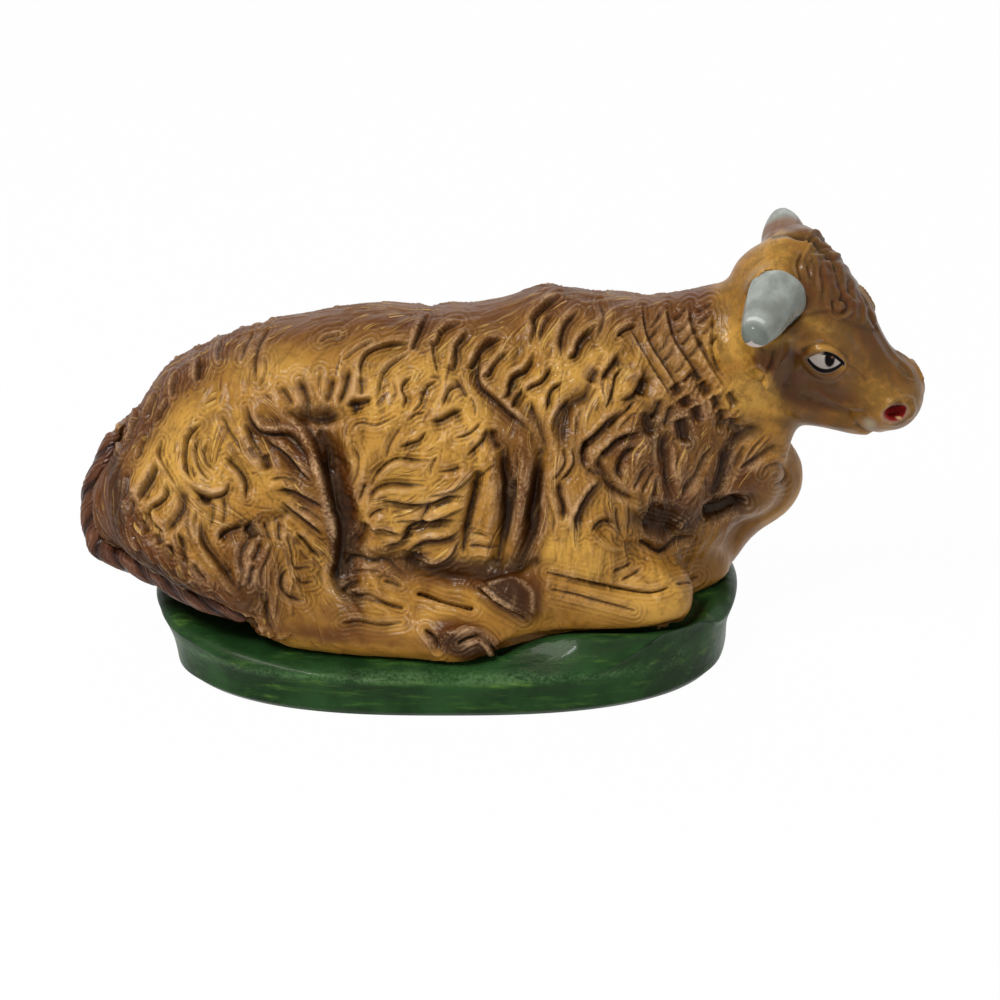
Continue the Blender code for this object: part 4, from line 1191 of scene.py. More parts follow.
# These lie on one side only: the crack where the halves were joined, and the hair beside it.
CROWN_STROKES = hand_rows("""
crack 3.2 -.75 773,238 786,236 797,239 810,244 820,250 829,258 836,270
crack_foot 3.2 -.5 858,288 865,304 870,319 876,330
crown_knot 17 1.1 772,238 784,231 798,232 810,240
strip_crest 5 .3 796,232 812,238 826,249 838,262
strip_1 4 .2 829,262 834,272 832,284 837,295
strip_2 4 .2 838,268 843,279 843,291 848,299
strip_3 4 .2 846,276 852,286 853,297 858,304
strip_4 3.6 .2 848,298 854,305 854,318
strip_5 3.6 .25 860,300 862,311 861,323
strip_gap_1 3 -.3 836,272 838,283 842,298
strip_gap_2 3 -.26 848,281 848,292 852,300
whorl_hollow 3.6 -.42 832,303 834,311 840,314 846,310 846,302 840,300
whorl_heart 4 .34 840,304 839,309
whorl_rim 3 .3 828,309 832,316 840,319 849,313
""")
FRINGE = ((782, 325), (797, 316), (813, 313), (829, 311), (838, 317), (847, 321), (860, 326))
FRINGE_HEIGHT = 0.42
FRINGE_REACH = 34.0
FRINGE_EDGE = 2.6
STRIP_PATCH = ((842, 284), (40, 13), 58)


def head_relief(points, normals):
    """Strokes, the fringe's step and the small bumps of the strip of hair, in metres."""
    on_head = head_mask(points)
    drawn = picture_place(folded_head(points))
    seen = picture_place(points)
    facing = np.clip(normals @ VIEW_AXIS * 4 + 0.5, 0, 1)
    height = np.zeros(len(points))
    for _, width, rise, *places in HEAD_STROKES:
        height += rise * np.exp(-(stroke_gap(drawn, places) / (0.5 * width)) ** 2)
    for _, width, rise, *places in CROWN_STROKES:
        height += rise * np.exp(-(stroke_gap(seen, places) / (0.5 * width)) ** 2) * facing
    gap, side, _ = stroke_frame(drawn, FRINGE, FRINGE_REACH)
    above = np.clip(gap, 0, FRINGE_REACH) * side
    height += FRINGE_HEIGHT * np.clip(0.5 + above / FRINGE_EDGE, 0, 1) * (1 - (above / FRINGE_REACH) ** 2)
    bumps = np.sin(seen[:, 0] / 2.9 + 1.3 * np.sin(seen[:, 1] / 5.1)) * np.cos(seen[:, 1] / 3.3)
    height += 0.12 * bumps * patch(seen, *STRIP_PATCH, 0.4) * facing
    return height / 1000 * on_head


head_height = head_relief(bare_points, bare_normals)
head_share = head_mask(bare_points)
drawing = picture_place(folded_head(bare_points))
print("head carved", round(head_height.min() * 1000, 2), "to", round(head_height.max() * 1000, 2), "mm")

# %% [markdown]
# ## Where the paint, the painted shade and the painted highlights go
# The painter sprayed ochre over everything, brown along the spine and in the deep places, then
# rubbed a pale tone over the tips of the locks. Shade is painted into the hollows and creases,
# and highlights onto the ridges. The skin's own form says where: hollows are corners that lie
# below the mean of their neighbourhood, and ridges lie above it.

# %% Measure hollows and ridges
STRAND_PASSES = 7
STRAND_SCALE = 0.00010
HOLLOW_PASSES = 26
DEEP_PASSES = 60
HOLLOW_SCALE = 0.00030
DEEP_SCALE = 0.00055

off_head = 1 - head_share
carved_points = bare_points + bare_normals * (
    (lock_relief - 0.45 * coat_depth + cut_height + plait_height) * off_head
    + stroke_height + head_height)[:, None]
carved_normals = corner_normals(carved_points, skin_faces)


def depth_below(points, normals, passes):
    """How far each corner lies below the blurred skin, along its normal."""
    return np.einsum("ij,ij->i", blurred(points, skin_pairs, passes) - points, normals)


strand_hollow = depth_below(carved_points, carved_normals, STRAND_PASSES) / STRAND_SCALE
fine_hollow = depth_below(carved_points, carved_normals, HOLLOW_PASSES) / HOLLOW_SCALE
# The deep hollows, measured over a wide blur, darken the big creases as painted shade.
deep_hollow = depth_below(carved_points, bare_normals, DEEP_PASSES) / DEEP_SCALE
hollow = np.clip(0.40 * fine_hollow + 0.60 * deep_hollow, 0, 1.5) / 1.5
hollow = hollow * 0.8 + 0.30 * np.clip(strand_hollow, 0, 1)
# The dark lines in the cuts add painted shade to the hollows.
hollow = np.maximum(np.clip(hollow, 0, 1), cut_line_shade * off_head)
# Ridges and the crests beside the cuts get pale paint and painted highlights.
ridge = np.clip(-fine_hollow - 0.25, 0, 1.5) / 1.5 + 0.12 * np.clip(-strand_hollow, 0, 1)
ridge = np.clip(np.maximum(ridge, 0.60 * cut_crest_highlight * off_head), 0, 1) * (0.4 + 0.6 * off_head)
print("hollow mean", round(hollow.mean(), 3), "ridge mean", round(ridge.mean(), 3))

# %% Spray the brown regions and the painted shade
# name, place, half sizes, heading, strength
# Brown airbrushing, and painted shade in the creases and pits and under the belly.
BROWN_AND_SHADE_PATCHES = hand_rows("""
rump_outline 135,400 120,32 127 .8
rump_tip 100,490 72,30 95 .85
seat_foot 178,582 95,26 33 .92
seat_edge 118,525 62,26 68 .85
thigh_fan 250,570 45,35 60 .7
swirl_shade 290,440 46,26 40 .75
thigh_edge 315,505 60,20 62 .55
crease 342,515 95,15 82 .95
belly_foot 450,575 100,14 5 .75
elbow 528,520 75,20 92 .65
bulge 515,470 50,24 80 .45
blade 505,410 46,22 70 .45
shoulder 575,455 60,26 80 .35
chest 655,465 62,38 50 .65
throat 715,440 60,24 55 .6
web 690,560 62,34 30 .45
breast 700,500 60,26 150 .55
hind_hoof 466,641 40,20 18 1
fore_hoof 512,594 34,24 30 1
shank_foot 390,640 120,8 5 .5
shank 330,620 60,26 5 .5
far_knee 772,486 34,30 0 .55
far_shin 742,530 40,26 60 .5
hock_foot 275,630 30,14 80 .35
""")
# Brown on the face, and painted shade at the temple, under the eye, beside the ear and along the jaw.
HEAD_BROWN_AND_SHADE = hand_rows("""
whole_face 850,372 75,60 25 .52
crown_side 778,256 34,22 140 .36
cheek_shade 835,398 40,12 20 .3
brow_shade 798,330 20,12 20 .5
forelock 824,288 36,24 62 .8
cheek 812,384 42,26 20 .4
strip 852,300 50,15 60 .85
forehead 800,296 16,22 100 .7
temple 785,362 17,40 100 .8
under_eye 804,388 32,20 38 .75
crown_back 790,238 26,9 10 .5
bridge 878,352 46,13 58 .4
knob 914,380 16,12 45 .35
jaw 812,424 60,9 3 .5
lip 908,424 24,9 145 .5
ear_shadow 771,366 5,18 112 .75
""")
# Painted shade: the darkest creases and pits, under the belly and the chest and round the hooves.
CREASE_SHADE_PATCHES = hand_rows("""
thigh_crease 340,530 62,11 84 .95
thigh_crease_high 327,462 45,8 78 .75
crease_foot 350,592 20,9 20 .9
hip_pit 318,414 26,9 3 .7
belly_foot 380,556 42,7 6 .7
belly_pit 414,562 10,12 90 .85
belly_foot_front 480,567 60,9 -3 .85
bulge 505,500 48,6 92 .8
elbow 532,505 55,7 98 .85
elbow_foot 518,562 20,10 -20 .85
chest_pit 664,520 34,20 8 .9
knee_pit 728,510 28,9 -18 .95
throat_pit 655,425 24,12 80 .75
throat_pit_front 686,432 20,8 75 .75
dewlap 725,470 34,7 103 .75
jaw_shade 750,434 30,7 -22 .75
tail_edge 116,495 52,8 86 .8
tail_foot 168,582 72,12 32 .85
hock_back 250,592 16,18 0 .6
fan_pit 252,530 14,8 30 .8
hind_hoof 464,646 32,12 14 .85
fore_hoof 506,592 30,19 38 .92
""")
CROWN_TUFT = ("crown_tuft", (800, 229), (28, 9), 18, 0.95)
# Lighter ochre: partly the paint's own lighter tone, partly painted light on lit bulges, lid, brow and ear.
LIT_GOLD_PATCHES = hand_rows("""
crown 768,258 26,18 140 .4
ear 752,388 20,30 70 1
nape 742,345 18,60 95 .75
brow 822,326 26,8 5 .8
lid 824,347 14,4 5 .9
cheek_band 832,398 26,5 25 .8
muzzle 885,398 24,16 30 .6
flank 430,400 90,55 5 .6
belly 420,490 55,60 90 .6
rump 190,450 45,45 0 .9
loin 270,362 40,22 0 .8
blade 580,375 50,60 90 .6
elbow 572,556 30,18 20 1
knee 655,596 36,24 20 .9
shank 380,615 70,18 8 .3
""")
SPINE_WIDTH = 0.0100


def sprayed(flat, patches):
    """What the patches cover together: one minus the product of what each leaves."""
    left = np.ones(len(flat))
    for _, centre, half_sizes, heading, strength in patches:
        left *= 1 - strength * patch(flat, centre, half_sizes, heading, 0.55)
    return 1 - left


def brown_and_shade_spray(points, normals):
    """The brown and painted shade of the patches of body and head, the tuft and the band on the spine."""
    body = sprayed(picture_place(near_side(points)), BROWN_AND_SHADE_PATCHES) * (1 - head_share)
    face = sprayed(drawing, HEAD_BROWN_AND_SHADE) * head_share
    tuft = sprayed(picture_place(points), (CROWN_TUFT,)) * np.clip((points[:, 2] - 0.055) / 0.002, 0, 1)
    aside = np.abs(points[:, 1] - PARTING_Y) / SPINE_WIDTH
    band = np.clip(1.5 - aside, 0, 1) * np.clip(normals[:, 2] * 2.2, 0, 1)
    band *= np.clip((0.0440 - points[:, 0]) / 0.006, 0, 1)
    return 1 - (1 - body) * (1 - face) * (1 - tuft) * (1 - 0.8 * band)


brown = brown_and_shade_spray(bare_points, bare_normals)
# The washes and painted shade beside the cuts are added to the brown.
brown = 1 - (1 - brown) * (1 - 0.66 * cut_shade * off_head)
# The shade patches and the crack along the crown darken the hollows: painted shade.
dark = sprayed(picture_place(near_side(bare_points)), CREASE_SHADE_PATCHES) * off_head
crack_gap = stroke_gap(picture_place(bare_points), CROWN_STROKES[0][3:])
dark = np.maximum(dark, np.exp(-(crack_gap / 1.8) ** 2) * (bare_points[:, 2] > 0.045))
hollow = 1 - (1 - hollow) * (1 - 0.85 * dark)
gold_body = sprayed(picture_place(near_side(bare_points)), LIT_GOLD_PATCHES)
gold = gold_body * (1 - head_share) + sprayed(drawing, LIT_GOLD_PATCHES) * head_share
print("brown mean", round(brown.mean(), 3))

# %% [markdown]
# ## Paint as shader nodes
# A material here is a stack of thin coats, made with the helpers that the floor used and a few
# more. What the hide, the tail, the horns and the base share are node groups, built once: coats
# of paint with painted shade in the hollows and painted highlights on the ridges, and the uneven
# varnish on top.

# %% Node helpers and shared groups
STRAW = (0.740, 0.450, 0.110)
OCHRE_LIGHT = (0.640, 0.345, 0.062)
OCHRE = (0.400, 0.185, 0.028)
BROWN = (0.110, 0.033, 0.006)
OLIVE = (0.120, 0.060, 0.009)
UMBER = (0.018, 0.006, 0.001)
BLUSH = (0.640, 0.390, 0.200)


def blend(tree, share, first, second):
    """A colour between two colours."""
    mix = add_node(tree, "ShaderNodeMix", {0: share, 6: first, 7: second}, data_type="RGBA")
    return mix.outputs[2]


def between(tree, value, low, high, start=0.0, end=1.0):
    """A value carried smoothly from one range to another and held at its ends."""
    item = add_node(tree, "ShaderNodeMapRange", {0: value, 1: low, 2: high, 3: start, 4: end},
                    interpolation_type="SMOOTHSTEP")
    return item.outputs[0]


def attribute(tree, name):
    """A value stored on the mesh."""
    return add_node(tree, "ShaderNodeAttribute", attribute_name=name).outputs["Fac"]


def object_place(tree):
    """A point's place in the object's own axes, in metres."""
    return add_node(tree, "ShaderNodeTexCoord").outputs["Object"]


def noise(tree, place, scale, detail=3.0, rough=0.55):
    """Noise at a place, from 0 to 1."""
    return add_node(tree, "ShaderNodeTexNoise", {"Vector": place, "Scale": scale, "Detail": detail,
                                                 "Roughness": rough}).outputs["Fac"]


def new_group(name, inputs, outputs):
    """An empty node group with named sockets. Each is (name, kind, value)."""
    group = bpy.data.node_groups.new(name, "ShaderNodeTree")
    for label, kind, value in inputs:
        socket = group.interface.new_socket(label, in_out="INPUT", socket_type="NodeSocket" + kind)
        if value is not None:
            socket.default_value = value
    for label, kind in outputs:
        group.interface.new_socket(label, in_out="OUTPUT", socket_type="NodeSocket" + kind)
    source = group.nodes.new("NodeGroupInput")
    sink = group.nodes.new("NodeGroupOutput")
    return group, source.outputs, sink.inputs


def coats_shade_highlight_group():
    """Body colour, dark wash and painted shade in the hollows, pale paint and painted highlights on ridges.
    """
    group, given, result = new_group(
        "coats_shade_highlight",
        (("Color", "Color", None), ("Wash", "Color", (*UMBER, 1)),
         ("Pale", "Color", (*BLUSH, 1)), ("Hollow", "Float", 0.0),
         ("Ridge", "Float", 0.0), ("Scale", "Float", 1.0)),
        (("Color", "Color"),))
    place = object_place(group)
    scaled = add_node(group, "ShaderNodeVectorMath", {0: place, "Scale": given["Scale"]},
                      operation="SCALE").outputs[0]
    patchy = noise(group, scaled, 260.0)
    speckle = noise(group, scaled, 2400.0, 4.0, 0.7)
    # Hollows: the wash colour mixed in by the hollow share, a dark wash and painted shade.
    wash = arithmetic(group, "MULTIPLY_ADD", patchy, 0.5, 0.72)
    wash = product(group, given["Hollow"], wash, clamp=True)
    washed = blend(group, wash, given["Color"], given["Wash"])
    # Ridges: speckled pale paint and painted highlights.
    rub_and_highlight = between(group, arithmetic(group, "MULTIPLY_ADD", speckle, 0.9,
                                       product(group, patchy, 0.7)), 0.62, 1.0)
    rub_and_highlight = product(group, rub_and_highlight, given["Ridge"], clamp=True)
    group.links.new(blend(group, rub_and_highlight, washed, given["Pale"]), result["Color"])
    return group


def varnish_group():
    """Uneven gloss and a skin of fine grain over a given height."""
    group, given, result = new_group(
        "varnish",
        (("Height", "Float", 0.0), ("Gloss", "Float", 0.3),
         ("Grain", "Float", 1.0), ("Depth", "Float", 0.0002)),
        (("Roughness", "Float"), ("Normal", "Vector")))
    place = object_place(group)
    cloud = noise(group, place, 420.0)
    grain = noise(group, place, 3600.0, 3.0, 0.6)
    rough = arithmetic(group, "MULTIPLY_ADD", cloud, 0.22, given["Gloss"])
    rough = arithmetic(group, "SUBTRACT", rough, 0.09, clamp=True)
    relief = arithmetic(group, "MULTIPLY_ADD", grain, product(group, given["Grain"], 0.18),
                        given["Height"])
    bump = add_node(group, "ShaderNodeBump",
                    {"Height": relief, "Distance": given["Depth"], "Strength": 1.0})
    group.links.new(rough, result["Roughness"])
    group.links.new(bump.outputs[0], result["Normal"])
    return group


COATS_SHADE_HIGHLIGHT = coats_shade_highlight_group()
VARNISH = varnish_group()


def place_group(tree, group, inputs):
    """A group node's results, with its inputs filled."""
    return add_node(tree, "ShaderNodeGroup", inputs, node_tree=group).outputs


def coated(tree, colour, wash, pale, scale=1.0):
    """A colour under the coats, which follow the hollows and ridges kept on the mesh:
    dark wash and painted shade in the hollows, pale paint and painted highlights on the ridges.
    """
    return place_group(tree, COATS_SHADE_HIGHLIGHT, {
        "Color": colour, "Wash": wash, "Pale": pale, "Hollow": attribute(tree, "hollow"),
        "Ridge": attribute(tree, "ridge"), "Scale": scale})["Color"]


def varnished(tree, height, gloss, grain, depth):
    """The varnish over a height from 0 to 1 that is so many metres deep."""
    return place_group(tree, VARNISH, {
        "Height": height, "Gloss": gloss, "Grain": grain, "Depth": depth})


def new_paint(name, gloss_coat=0.14):
    """A material with its Principled shader, and its node tree: a thin amber varnish."""
    material = bpy.data.materials.new(name)
    material.use_nodes = True
    shader = material.node_tree.nodes["Principled BSDF"]
    shader.inputs["Coat Weight"].default_value = gloss_coat
    shader.inputs["Coat Roughness"].default_value = 0.11
    shader.inputs["Specular IOR Level"].default_value = 0.09
    shader.inputs["Specular Tint"].default_value = (1.0, 0.84, 0.66, 1)
    return material, material.node_tree, shader


def join_paint(tree, shader, colour, finish):
    """Link a colour and a varnish group's results to a shader."""
    tree.links.new(colour, shader.inputs["Base Color"])
    tree.links.new(finish["Roughness"], shader.inputs["Roughness"])
    tree.links.new(finish["Normal"], shader.inputs["Normal"])


# %% The painted hide
def strand_height(tree):
    """Fine strands: noise that runs quickly across a lock and slowly along it."""
    across = attribute(tree, "lock_across")
    along = attribute(tree, "lock_along")
    number = attribute(tree, "lock_number")
    spread = add_node(tree, "ShaderNodeCombineXYZ", {0: product(tree, across, 4.4),
                                                     1: product(tree, along, 0.9),
                                                     2: product(tree, number, 7.31)}).outputs[0]
    return noise(tree, spread, 1.0, 2.0, 0.6)


def hide_paint_shade_highlight(tree):
    """Coat colour and varnish: ochres and brown, washed and dry-brushed, with painted shade and light."""
    place = object_place(tree)
    cloud = noise(tree, place, 150.0, 4.0)
    hair = attribute(tree, "hair")
    strands = product(tree, arithmetic(tree, "SUBTRACT", strand_height(tree), 0.5), hair)
    # The lighter ochre follows the lit patches, partly painted light.
    golden = arithmetic(tree, "MULTIPLY_ADD", attribute(tree, "gold"), 0.34, cloud)
    ochre = blend(tree, between(tree, golden, 0.38, 0.85), OCHRE, OCHRE_LIGHT)
    # The brown share holds brown airbrushing and painted shade.
    spray = arithmetic(tree, "MULTIPLY_ADD", arithmetic(tree, "SUBTRACT", cloud, 0.5), 0.9,
                       attribute(tree, "brown"))
    body = blend(tree, between(tree, spray, 0.12, 0.95), ochre, BROWN)
    # Painted shade on one side of each lock and at its root, under the tip of the lock before.
    shaded_side = between(tree, attribute(tree, "lock_across"), 0.10, -0.95, 0.0, 0.62)
    shaded_root = between(tree, attribute(tree, "lock_along"), 0.34, 0.02, 0.0, 0.50)
    shaded = product(tree, arithmetic(tree, "MAXIMUM", shaded_side, shaded_root), hair)
    body = blend(tree, shaded, body, BROWN)
    # Strand furrows painted darker and strand tops lighter: painted shade and painted highlight.
    body = blend(tree, between(tree, strands, 0.02, -0.11, 0.0, 0.72), body, BROWN)
    body = blend(tree, between(tree, strands, 0.03, 0.13, 0.0, 0.62), body, STRAW)
    mottled = between(tree, noise(tree, place, 420.0, 4.0, 0.65), 0.47, 0.66, 0.0, 0.36)
    body = blend(tree, mottled, body, BROWN)
    return coated(tree, body, UMBER, BLUSH), varnished(tree, strands, 0.34, 1.0, 0.00042)


def painted_hide():
    """The coat's paint on its shader."""
    material, tree, shader = new_paint("painted_hide")
    join_paint(tree, shader, *hide_paint_shade_highlight(tree))
    return material


def store(item, **columns):
    """Keep arrays of one value per corner on an object's mesh."""
    for name, values in columns.items():
        layer = item.data.attributes.new(name, "FLOAT", "POINT")
        layer.data.foreach_set("value", np.ascontiguousarray(values, np.float32))


HIDE_PAINT = painted_hide()
print("hide painted")

# %% [markdown]
# ## The painted face
# The eye, the nostril and the mouth were painted by hand with a fine brush. Each mark is a
# formula of the place on the drawing: the eye is the space between two parabolas from corner
# to corner, its lines are narrow bands along them, and the iris is an ellipse.

# %% Paint the face
EYE_MIDDLE = (825.2, 360.8)
EYE_HEADING = 6.7
EYE_HALF = 17.8
EYE_TOP = -7.6
EYE_FOOT = 10.2
IRIS = ((4.4, -2.4), (5.2, 8.2))
EYE_GLINT = ((6.6, -4.2), (1.5, 1.3))
BROW_DASH = ((819.0, 341.0), -8.0, (4.2, 1.3))
NOSTRIL = ((895.5, 413.0), -16.0, (13.5, 8.6))
NOSTRIL_FLECK = ((899.0, 418.0), 20.0, (3.0, 1.6))
MOUTH = ((880.0, 437.0), 4.0, (15.0, 1.8))
PALE_SPOT = ((870.0, 424.0), 30.0, (5.6, 4.6))
EYE_WHITE = (0.440, 0.390, 0.350)
BLACK = (0.003, 0.002, 0.003)
RED = (0.210, 0.010, 0.010)
DARK_RED = (0.080, 0.006, 0.006)


def turned_place(tree, place, centre, heading):
    """Distances of a place along and across a heading, from a centre."""
    turn = math.radians(heading)
    offset = add_node(tree, "ShaderNodeVectorMath", {0: place, 1: (*centre, 0.0)},
                      operation="SUBTRACT").outputs[0]
    along = add_node(tree, "ShaderNodeVectorMath", {0: offset, 1: (math.cos(turn), math.sin(turn), 0.0)},
                     operation="DOT_PRODUCT").outputs["Value"]
    across = add_node(tree, "ShaderNodeVectorMath", {0: offset, 1: (-math.sin(turn), math.cos(turn), 0.0)},
                      operation="DOT_PRODUCT").outputs["Value"]
    return along, across


def oval(tree, along, across, middle, radii, edge=0.18):
    """1 inside an ellipse and 0 outside it."""
    first = arithmetic(tree, "DIVIDE", arithmetic(tree, "SUBTRACT", along, middle[0]), radii[0])
    second = arithmetic(tree, "DIVIDE", arithmetic(tree, "SUBTRACT", across, middle[1]), radii[1])
    square = arithmetic(tree, "MULTIPLY_ADD", first, first, product(tree, second, second))
    return between(tree, arithmetic(tree, "SQRT", square), 1 + edge, 1 - edge)


def brushed_oval(tree, place, mark, edge=0.25):
    """An ellipse given by its centre, heading and radii."""
    centre, heading, radii = mark
    along, across = turned_place(tree, place, centre, heading)
    return oval(tree, along, across, (0.0, 0.0), radii, edge)


def face_group():
    """Colour of the face and how much it covers, for a place on the drawing in pixels."""
    group, given, result = new_group(
        "painted_face", (("Place", "Vector", None), ("Wobble", "Float", 0.0)),
        (("Color", "Color"), ("Cover", "Float")))
    place = given["Place"]
    along, level = turned_place(group, place, EYE_MIDDLE, EYE_HEADING)
    across = arithmetic(group, "MULTIPLY_ADD", given["Wobble"], 0.8, level)
    share = arithmetic(group, "DIVIDE", along, EYE_HALF)
    swell = arithmetic(group, "SUBTRACT", 1.0, product(group, share, share))
    above = arithmetic(group, "SUBTRACT", across, product(group, swell, EYE_TOP))
    below = arithmetic(group, "SUBTRACT", product(group, swell, EYE_FOOT), across)
    white = product(group, between(group, above, -0.4, 0.8), between(group, below, -0.4, 0.8))
    foot_line = product(group, between(group, arithmetic(group, "ABSOLUTE", below), 2.7, 1.6),
                        between(group, swell, -0.10, 0.02))
    top_line = product(group, between(group, arithmetic(group, "ABSOLUTE", above), 2.7, 1.5),
                       between(group, along, -8.0, -1.0))
    top_line = product(group, top_line, between(group, swell, -0.30, -0.10))
    iris = product(group, oval(group, along, across, *IRIS), white)
    lines = arithmetic(group, "MAXIMUM", foot_line, arithmetic(group, "MAXIMUM", top_line, iris))
    glint = oval(group, along, across, *EYE_GLINT, 0.5)
    dash = product(group, brushed_oval(group, place, BROW_DASH), 0.7)
    red = brushed_oval(group, place, NOSTRIL)
    fleck = brushed_oval(group, place, NOSTRIL_FLECK, 0.5)
    mouth = product(group, brushed_oval(group, place, MOUTH, 0.4), 0.8)
    pale = product(group, brushed_oval(group, place, PALE_SPOT, 0.8), 0.75)
    nose_across = turned_place(group, place, *NOSTRIL[:2])[1]
    nose = blend(group, between(group, nose_across, -3.0, -6.0), RED, DARK_RED)
    colour = blend(group, lines, EYE_WHITE, BLACK)
    colour = blend(group, product(group, glint, 0.7), colour, (0.180, 0.090, 0.045))
    colour = blend(group, dash, colour, (0.060, 0.022, 0.010))
    colour = blend(group, red, colour, nose)
    colour = blend(group, product(group, fleck, 0.8), colour, BLUSH)
    colour = blend(group, mouth, colour, DARK_RED)
    colour = blend(group, pale, colour, (0.480, 0.420, 0.230))
    cover = arithmetic(group, "MAXIMUM", white, lines)
    for mark in (dash, red, mouth, pale):
        cover = arithmetic(group, "MAXIMUM", cover, mark)
    group.links.new(colour, result["Color"])
    group.links.new(cover, result["Cover"])
    return group


def painted_face():
    """The coat's paint with the face on top, where the skin faces the one who drew it."""
    material, tree, shader = new_paint("painted_face", 0.20)
    colour, finish = hide_paint_shade_highlight(tree)
    place = object_place(tree)
    dabs = between(tree, noise(tree, place, 300.0, 5.0, 0.75), 0.42, 0.60, 0.0, 0.55)
    colour = blend(tree, dabs, colour, OLIVE)
    sheet = add_node(tree, "ShaderNodeUVMap", uv_map="drawing").outputs[0]
    pixels = add_node(tree, "ShaderNodeVectorMath", {0: sheet, "Scale": float(PICTURE)},
                      operation="SCALE").outputs[0]
    shaky = arithmetic(tree, "SUBTRACT", noise(tree, pixels, 0.16, 2.0), 0.5)
    face = place_group(tree, face_group(), {"Place": pixels, "Wobble": shaky})
    cover = product(tree, face["Cover"], attribute(tree, "drawn"))
    join_paint(tree, shader, blend(tree, cover, colour, face["Color"]), finish)
    rough = arithmetic(tree, "MULTIPLY_ADD", cover, 0.12, finish["Roughness"])
    tree.links.new(rough, shader.inputs["Roughness"])
    tree.links.new(between(tree, cover, 0.0, 1.0, 0.20, 0.03), shader.inputs["Coat Weight"])
    tree.links.new(between(tree, cover, 0.0, 1.0, 0.09, 0.03), shader.inputs["Specular IOR Level"])
    return material


FACE_PAINT = painted_face()
print("face painted")

# %% [markdown]
# ## The tail
# The tail was laid on last: a rope of twisted strands from the root on the rump, down round
# the seat and forward to the hock. Here it is a tube along a smooth route. The tube's radius
# is largest over each strand, and the strands turn as they go, which gives the slanting strokes.

# %% Twist the tail
TAIL_ROUTE = ((-0.0502, 0.0000, 0.0340), (-0.0529, -0.0023, 0.0300), (-0.0536, -0.0039, 0.0239),
              (-0.0518, -0.0078, 0.0167), (-0.0451, -0.0140, 0.0133), (-0.0365, -0.0189, 0.0127),
              (-0.0290, -0.0213, 0.0133))
TAIL_RADII = (0.0020, 0.0022, 0.0022, 0.0022, 0.0022, 0.0025, 0.0017)
TAIL_STRANDS = 3
TAIL_TURNS = 5.5
TAIL_RINGS = 520
TAIL_SIDES = 56
TAIL_DARK = (0.045, 0.014, 0.007)
TAIL_BROWN = (0.110, 0.037, 0.016)
TAIL_WASH_AND_SHADE = (0.016, 0.005, 0.004)
TAIL_RUB_AND_HIGHLIGHT = (0.240, 0.110, 0.060)


def round_end(share):
    """A quarter circle: 1 up to 0, and 0 from 1."""
    return np.sqrt(1 - np.clip(share, 0, 1) ** 2)


def swept_tube(route, radii, rings, sides):
    """Centres, two cross directions, radii and lengths along a smooth route, and the angles."""
    rows = smooth_route(np.column_stack([route, radii]), 60)
    length = np.concatenate([[0], np.cumsum(np.linalg.norm(np.diff(rows[:, :3], axis=0), axis=1))])
    even = np.linspace(0, length[-1], rings)
    rows = np.column_stack([np.interp(even, length, column) for column in rows.T])
    tangents = np.gradient(rows[:, :3], axis=0)
    tangents /= np.linalg.norm(tangents, axis=1)[:, None]
    first = np.cross(tangents, [0.0, 1.0, 0.0])
    first /= np.linalg.norm(first, axis=1)[:, None]
    second = np.cross(tangents, first)
    around = np.linspace(0, 2 * math.pi, sides, endpoint=False)
    return rows[:, :3], first, second, rows[:, 3], even, around


def tube_faces(rings, sides):
    """Faces of a tube. Its end rings stay open; the callers draw them in to almost nothing."""
    ring = np.arange(rings - 1)[:, None] * sides
    side = np.arange(sides)[None, :]
    following = (side + 1) % sides
    return np.stack([ring + side, ring + following, ring + sides + following, ring + sides + side],
                    axis=-1).reshape(-1, 4)


def outward_faces(points, faces):
    """Faces turned so that the volume they enclose is positive."""
    a, b, c = points[faces[:, 0]], points[faces[:, 1]], points[faces[:, 2]]
    d = points[faces[:, 3]]
    volume = (np.einsum("ij,ij->i", a, np.cross(b, c)) + np.einsum("ij,ij->i", a, np.cross(c, d))).sum()
    return faces if volume > 0 else faces[:, ::-1]


def tail_mesh():
    """Radius times a wave over the turning strands, and closed to a point at both ends."""
    centres, first, second, radii, even, around = swept_tube(TAIL_ROUTE, TAIL_RADII, TAIL_RINGS, TAIL_SIDES)
    share = (even / even[-1])[:, None]
    phase = TAIL_STRANDS * around[None, :] - 2 * math.pi * TAIL_TURNS * share * TAIL_STRANDS / 2
    lobe = np.abs(np.cos(phase / 2))
    hairs = np.cos(phase * 4 + 2 * np.sin(share * 90))
    swell = 0.90 + 0.13 * lobe ** 0.8 + 0.025 * hairs
    close = round_end((0.03 - share) / 0.03) * round_end((share - 0.955) / 0.045)
    reach = radii[:, None] * swell * np.maximum(close, 1e-4)
    points = (centres[:, None, :] + first[:, None, :] * (np.cos(around) * reach)[:, :, None]
              + second[:, None, :] * (np.sin(around) * reach)[:, :, None])
    # Between the strands: wash and painted shade. On their tops: pale paint and painted highlight.
    hollow = np.clip(1.25 - 1.7 * lobe ** 0.8, 0, 1)
    ridge = np.clip(lobe ** 3 * (0.6 + 0.4 * hairs), 0, 1)
    return pulled(points.reshape(-1, 3)), hollow.ravel(), ridge.ravel()


def painted_tail():
    """Dark brown, nearly black with wash and painted shade between strands, pink and painted highlights on
    them.
    """
    material, tree, shader = new_paint("painted_tail")
    place = object_place(tree)
    cloud = noise(tree, place, 300.0)
    body = blend(tree, between(tree, cloud, 0.35, 0.7), TAIL_DARK, TAIL_BROWN)
    finish = varnished(tree, attribute(tree, "ridge"), 0.30, 1.0, 0.00012)
    join_paint(tree, shader, coated(tree, body, TAIL_WASH_AND_SHADE, TAIL_RUB_AND_HIGHLIGHT, 1.3), finish)
    return material


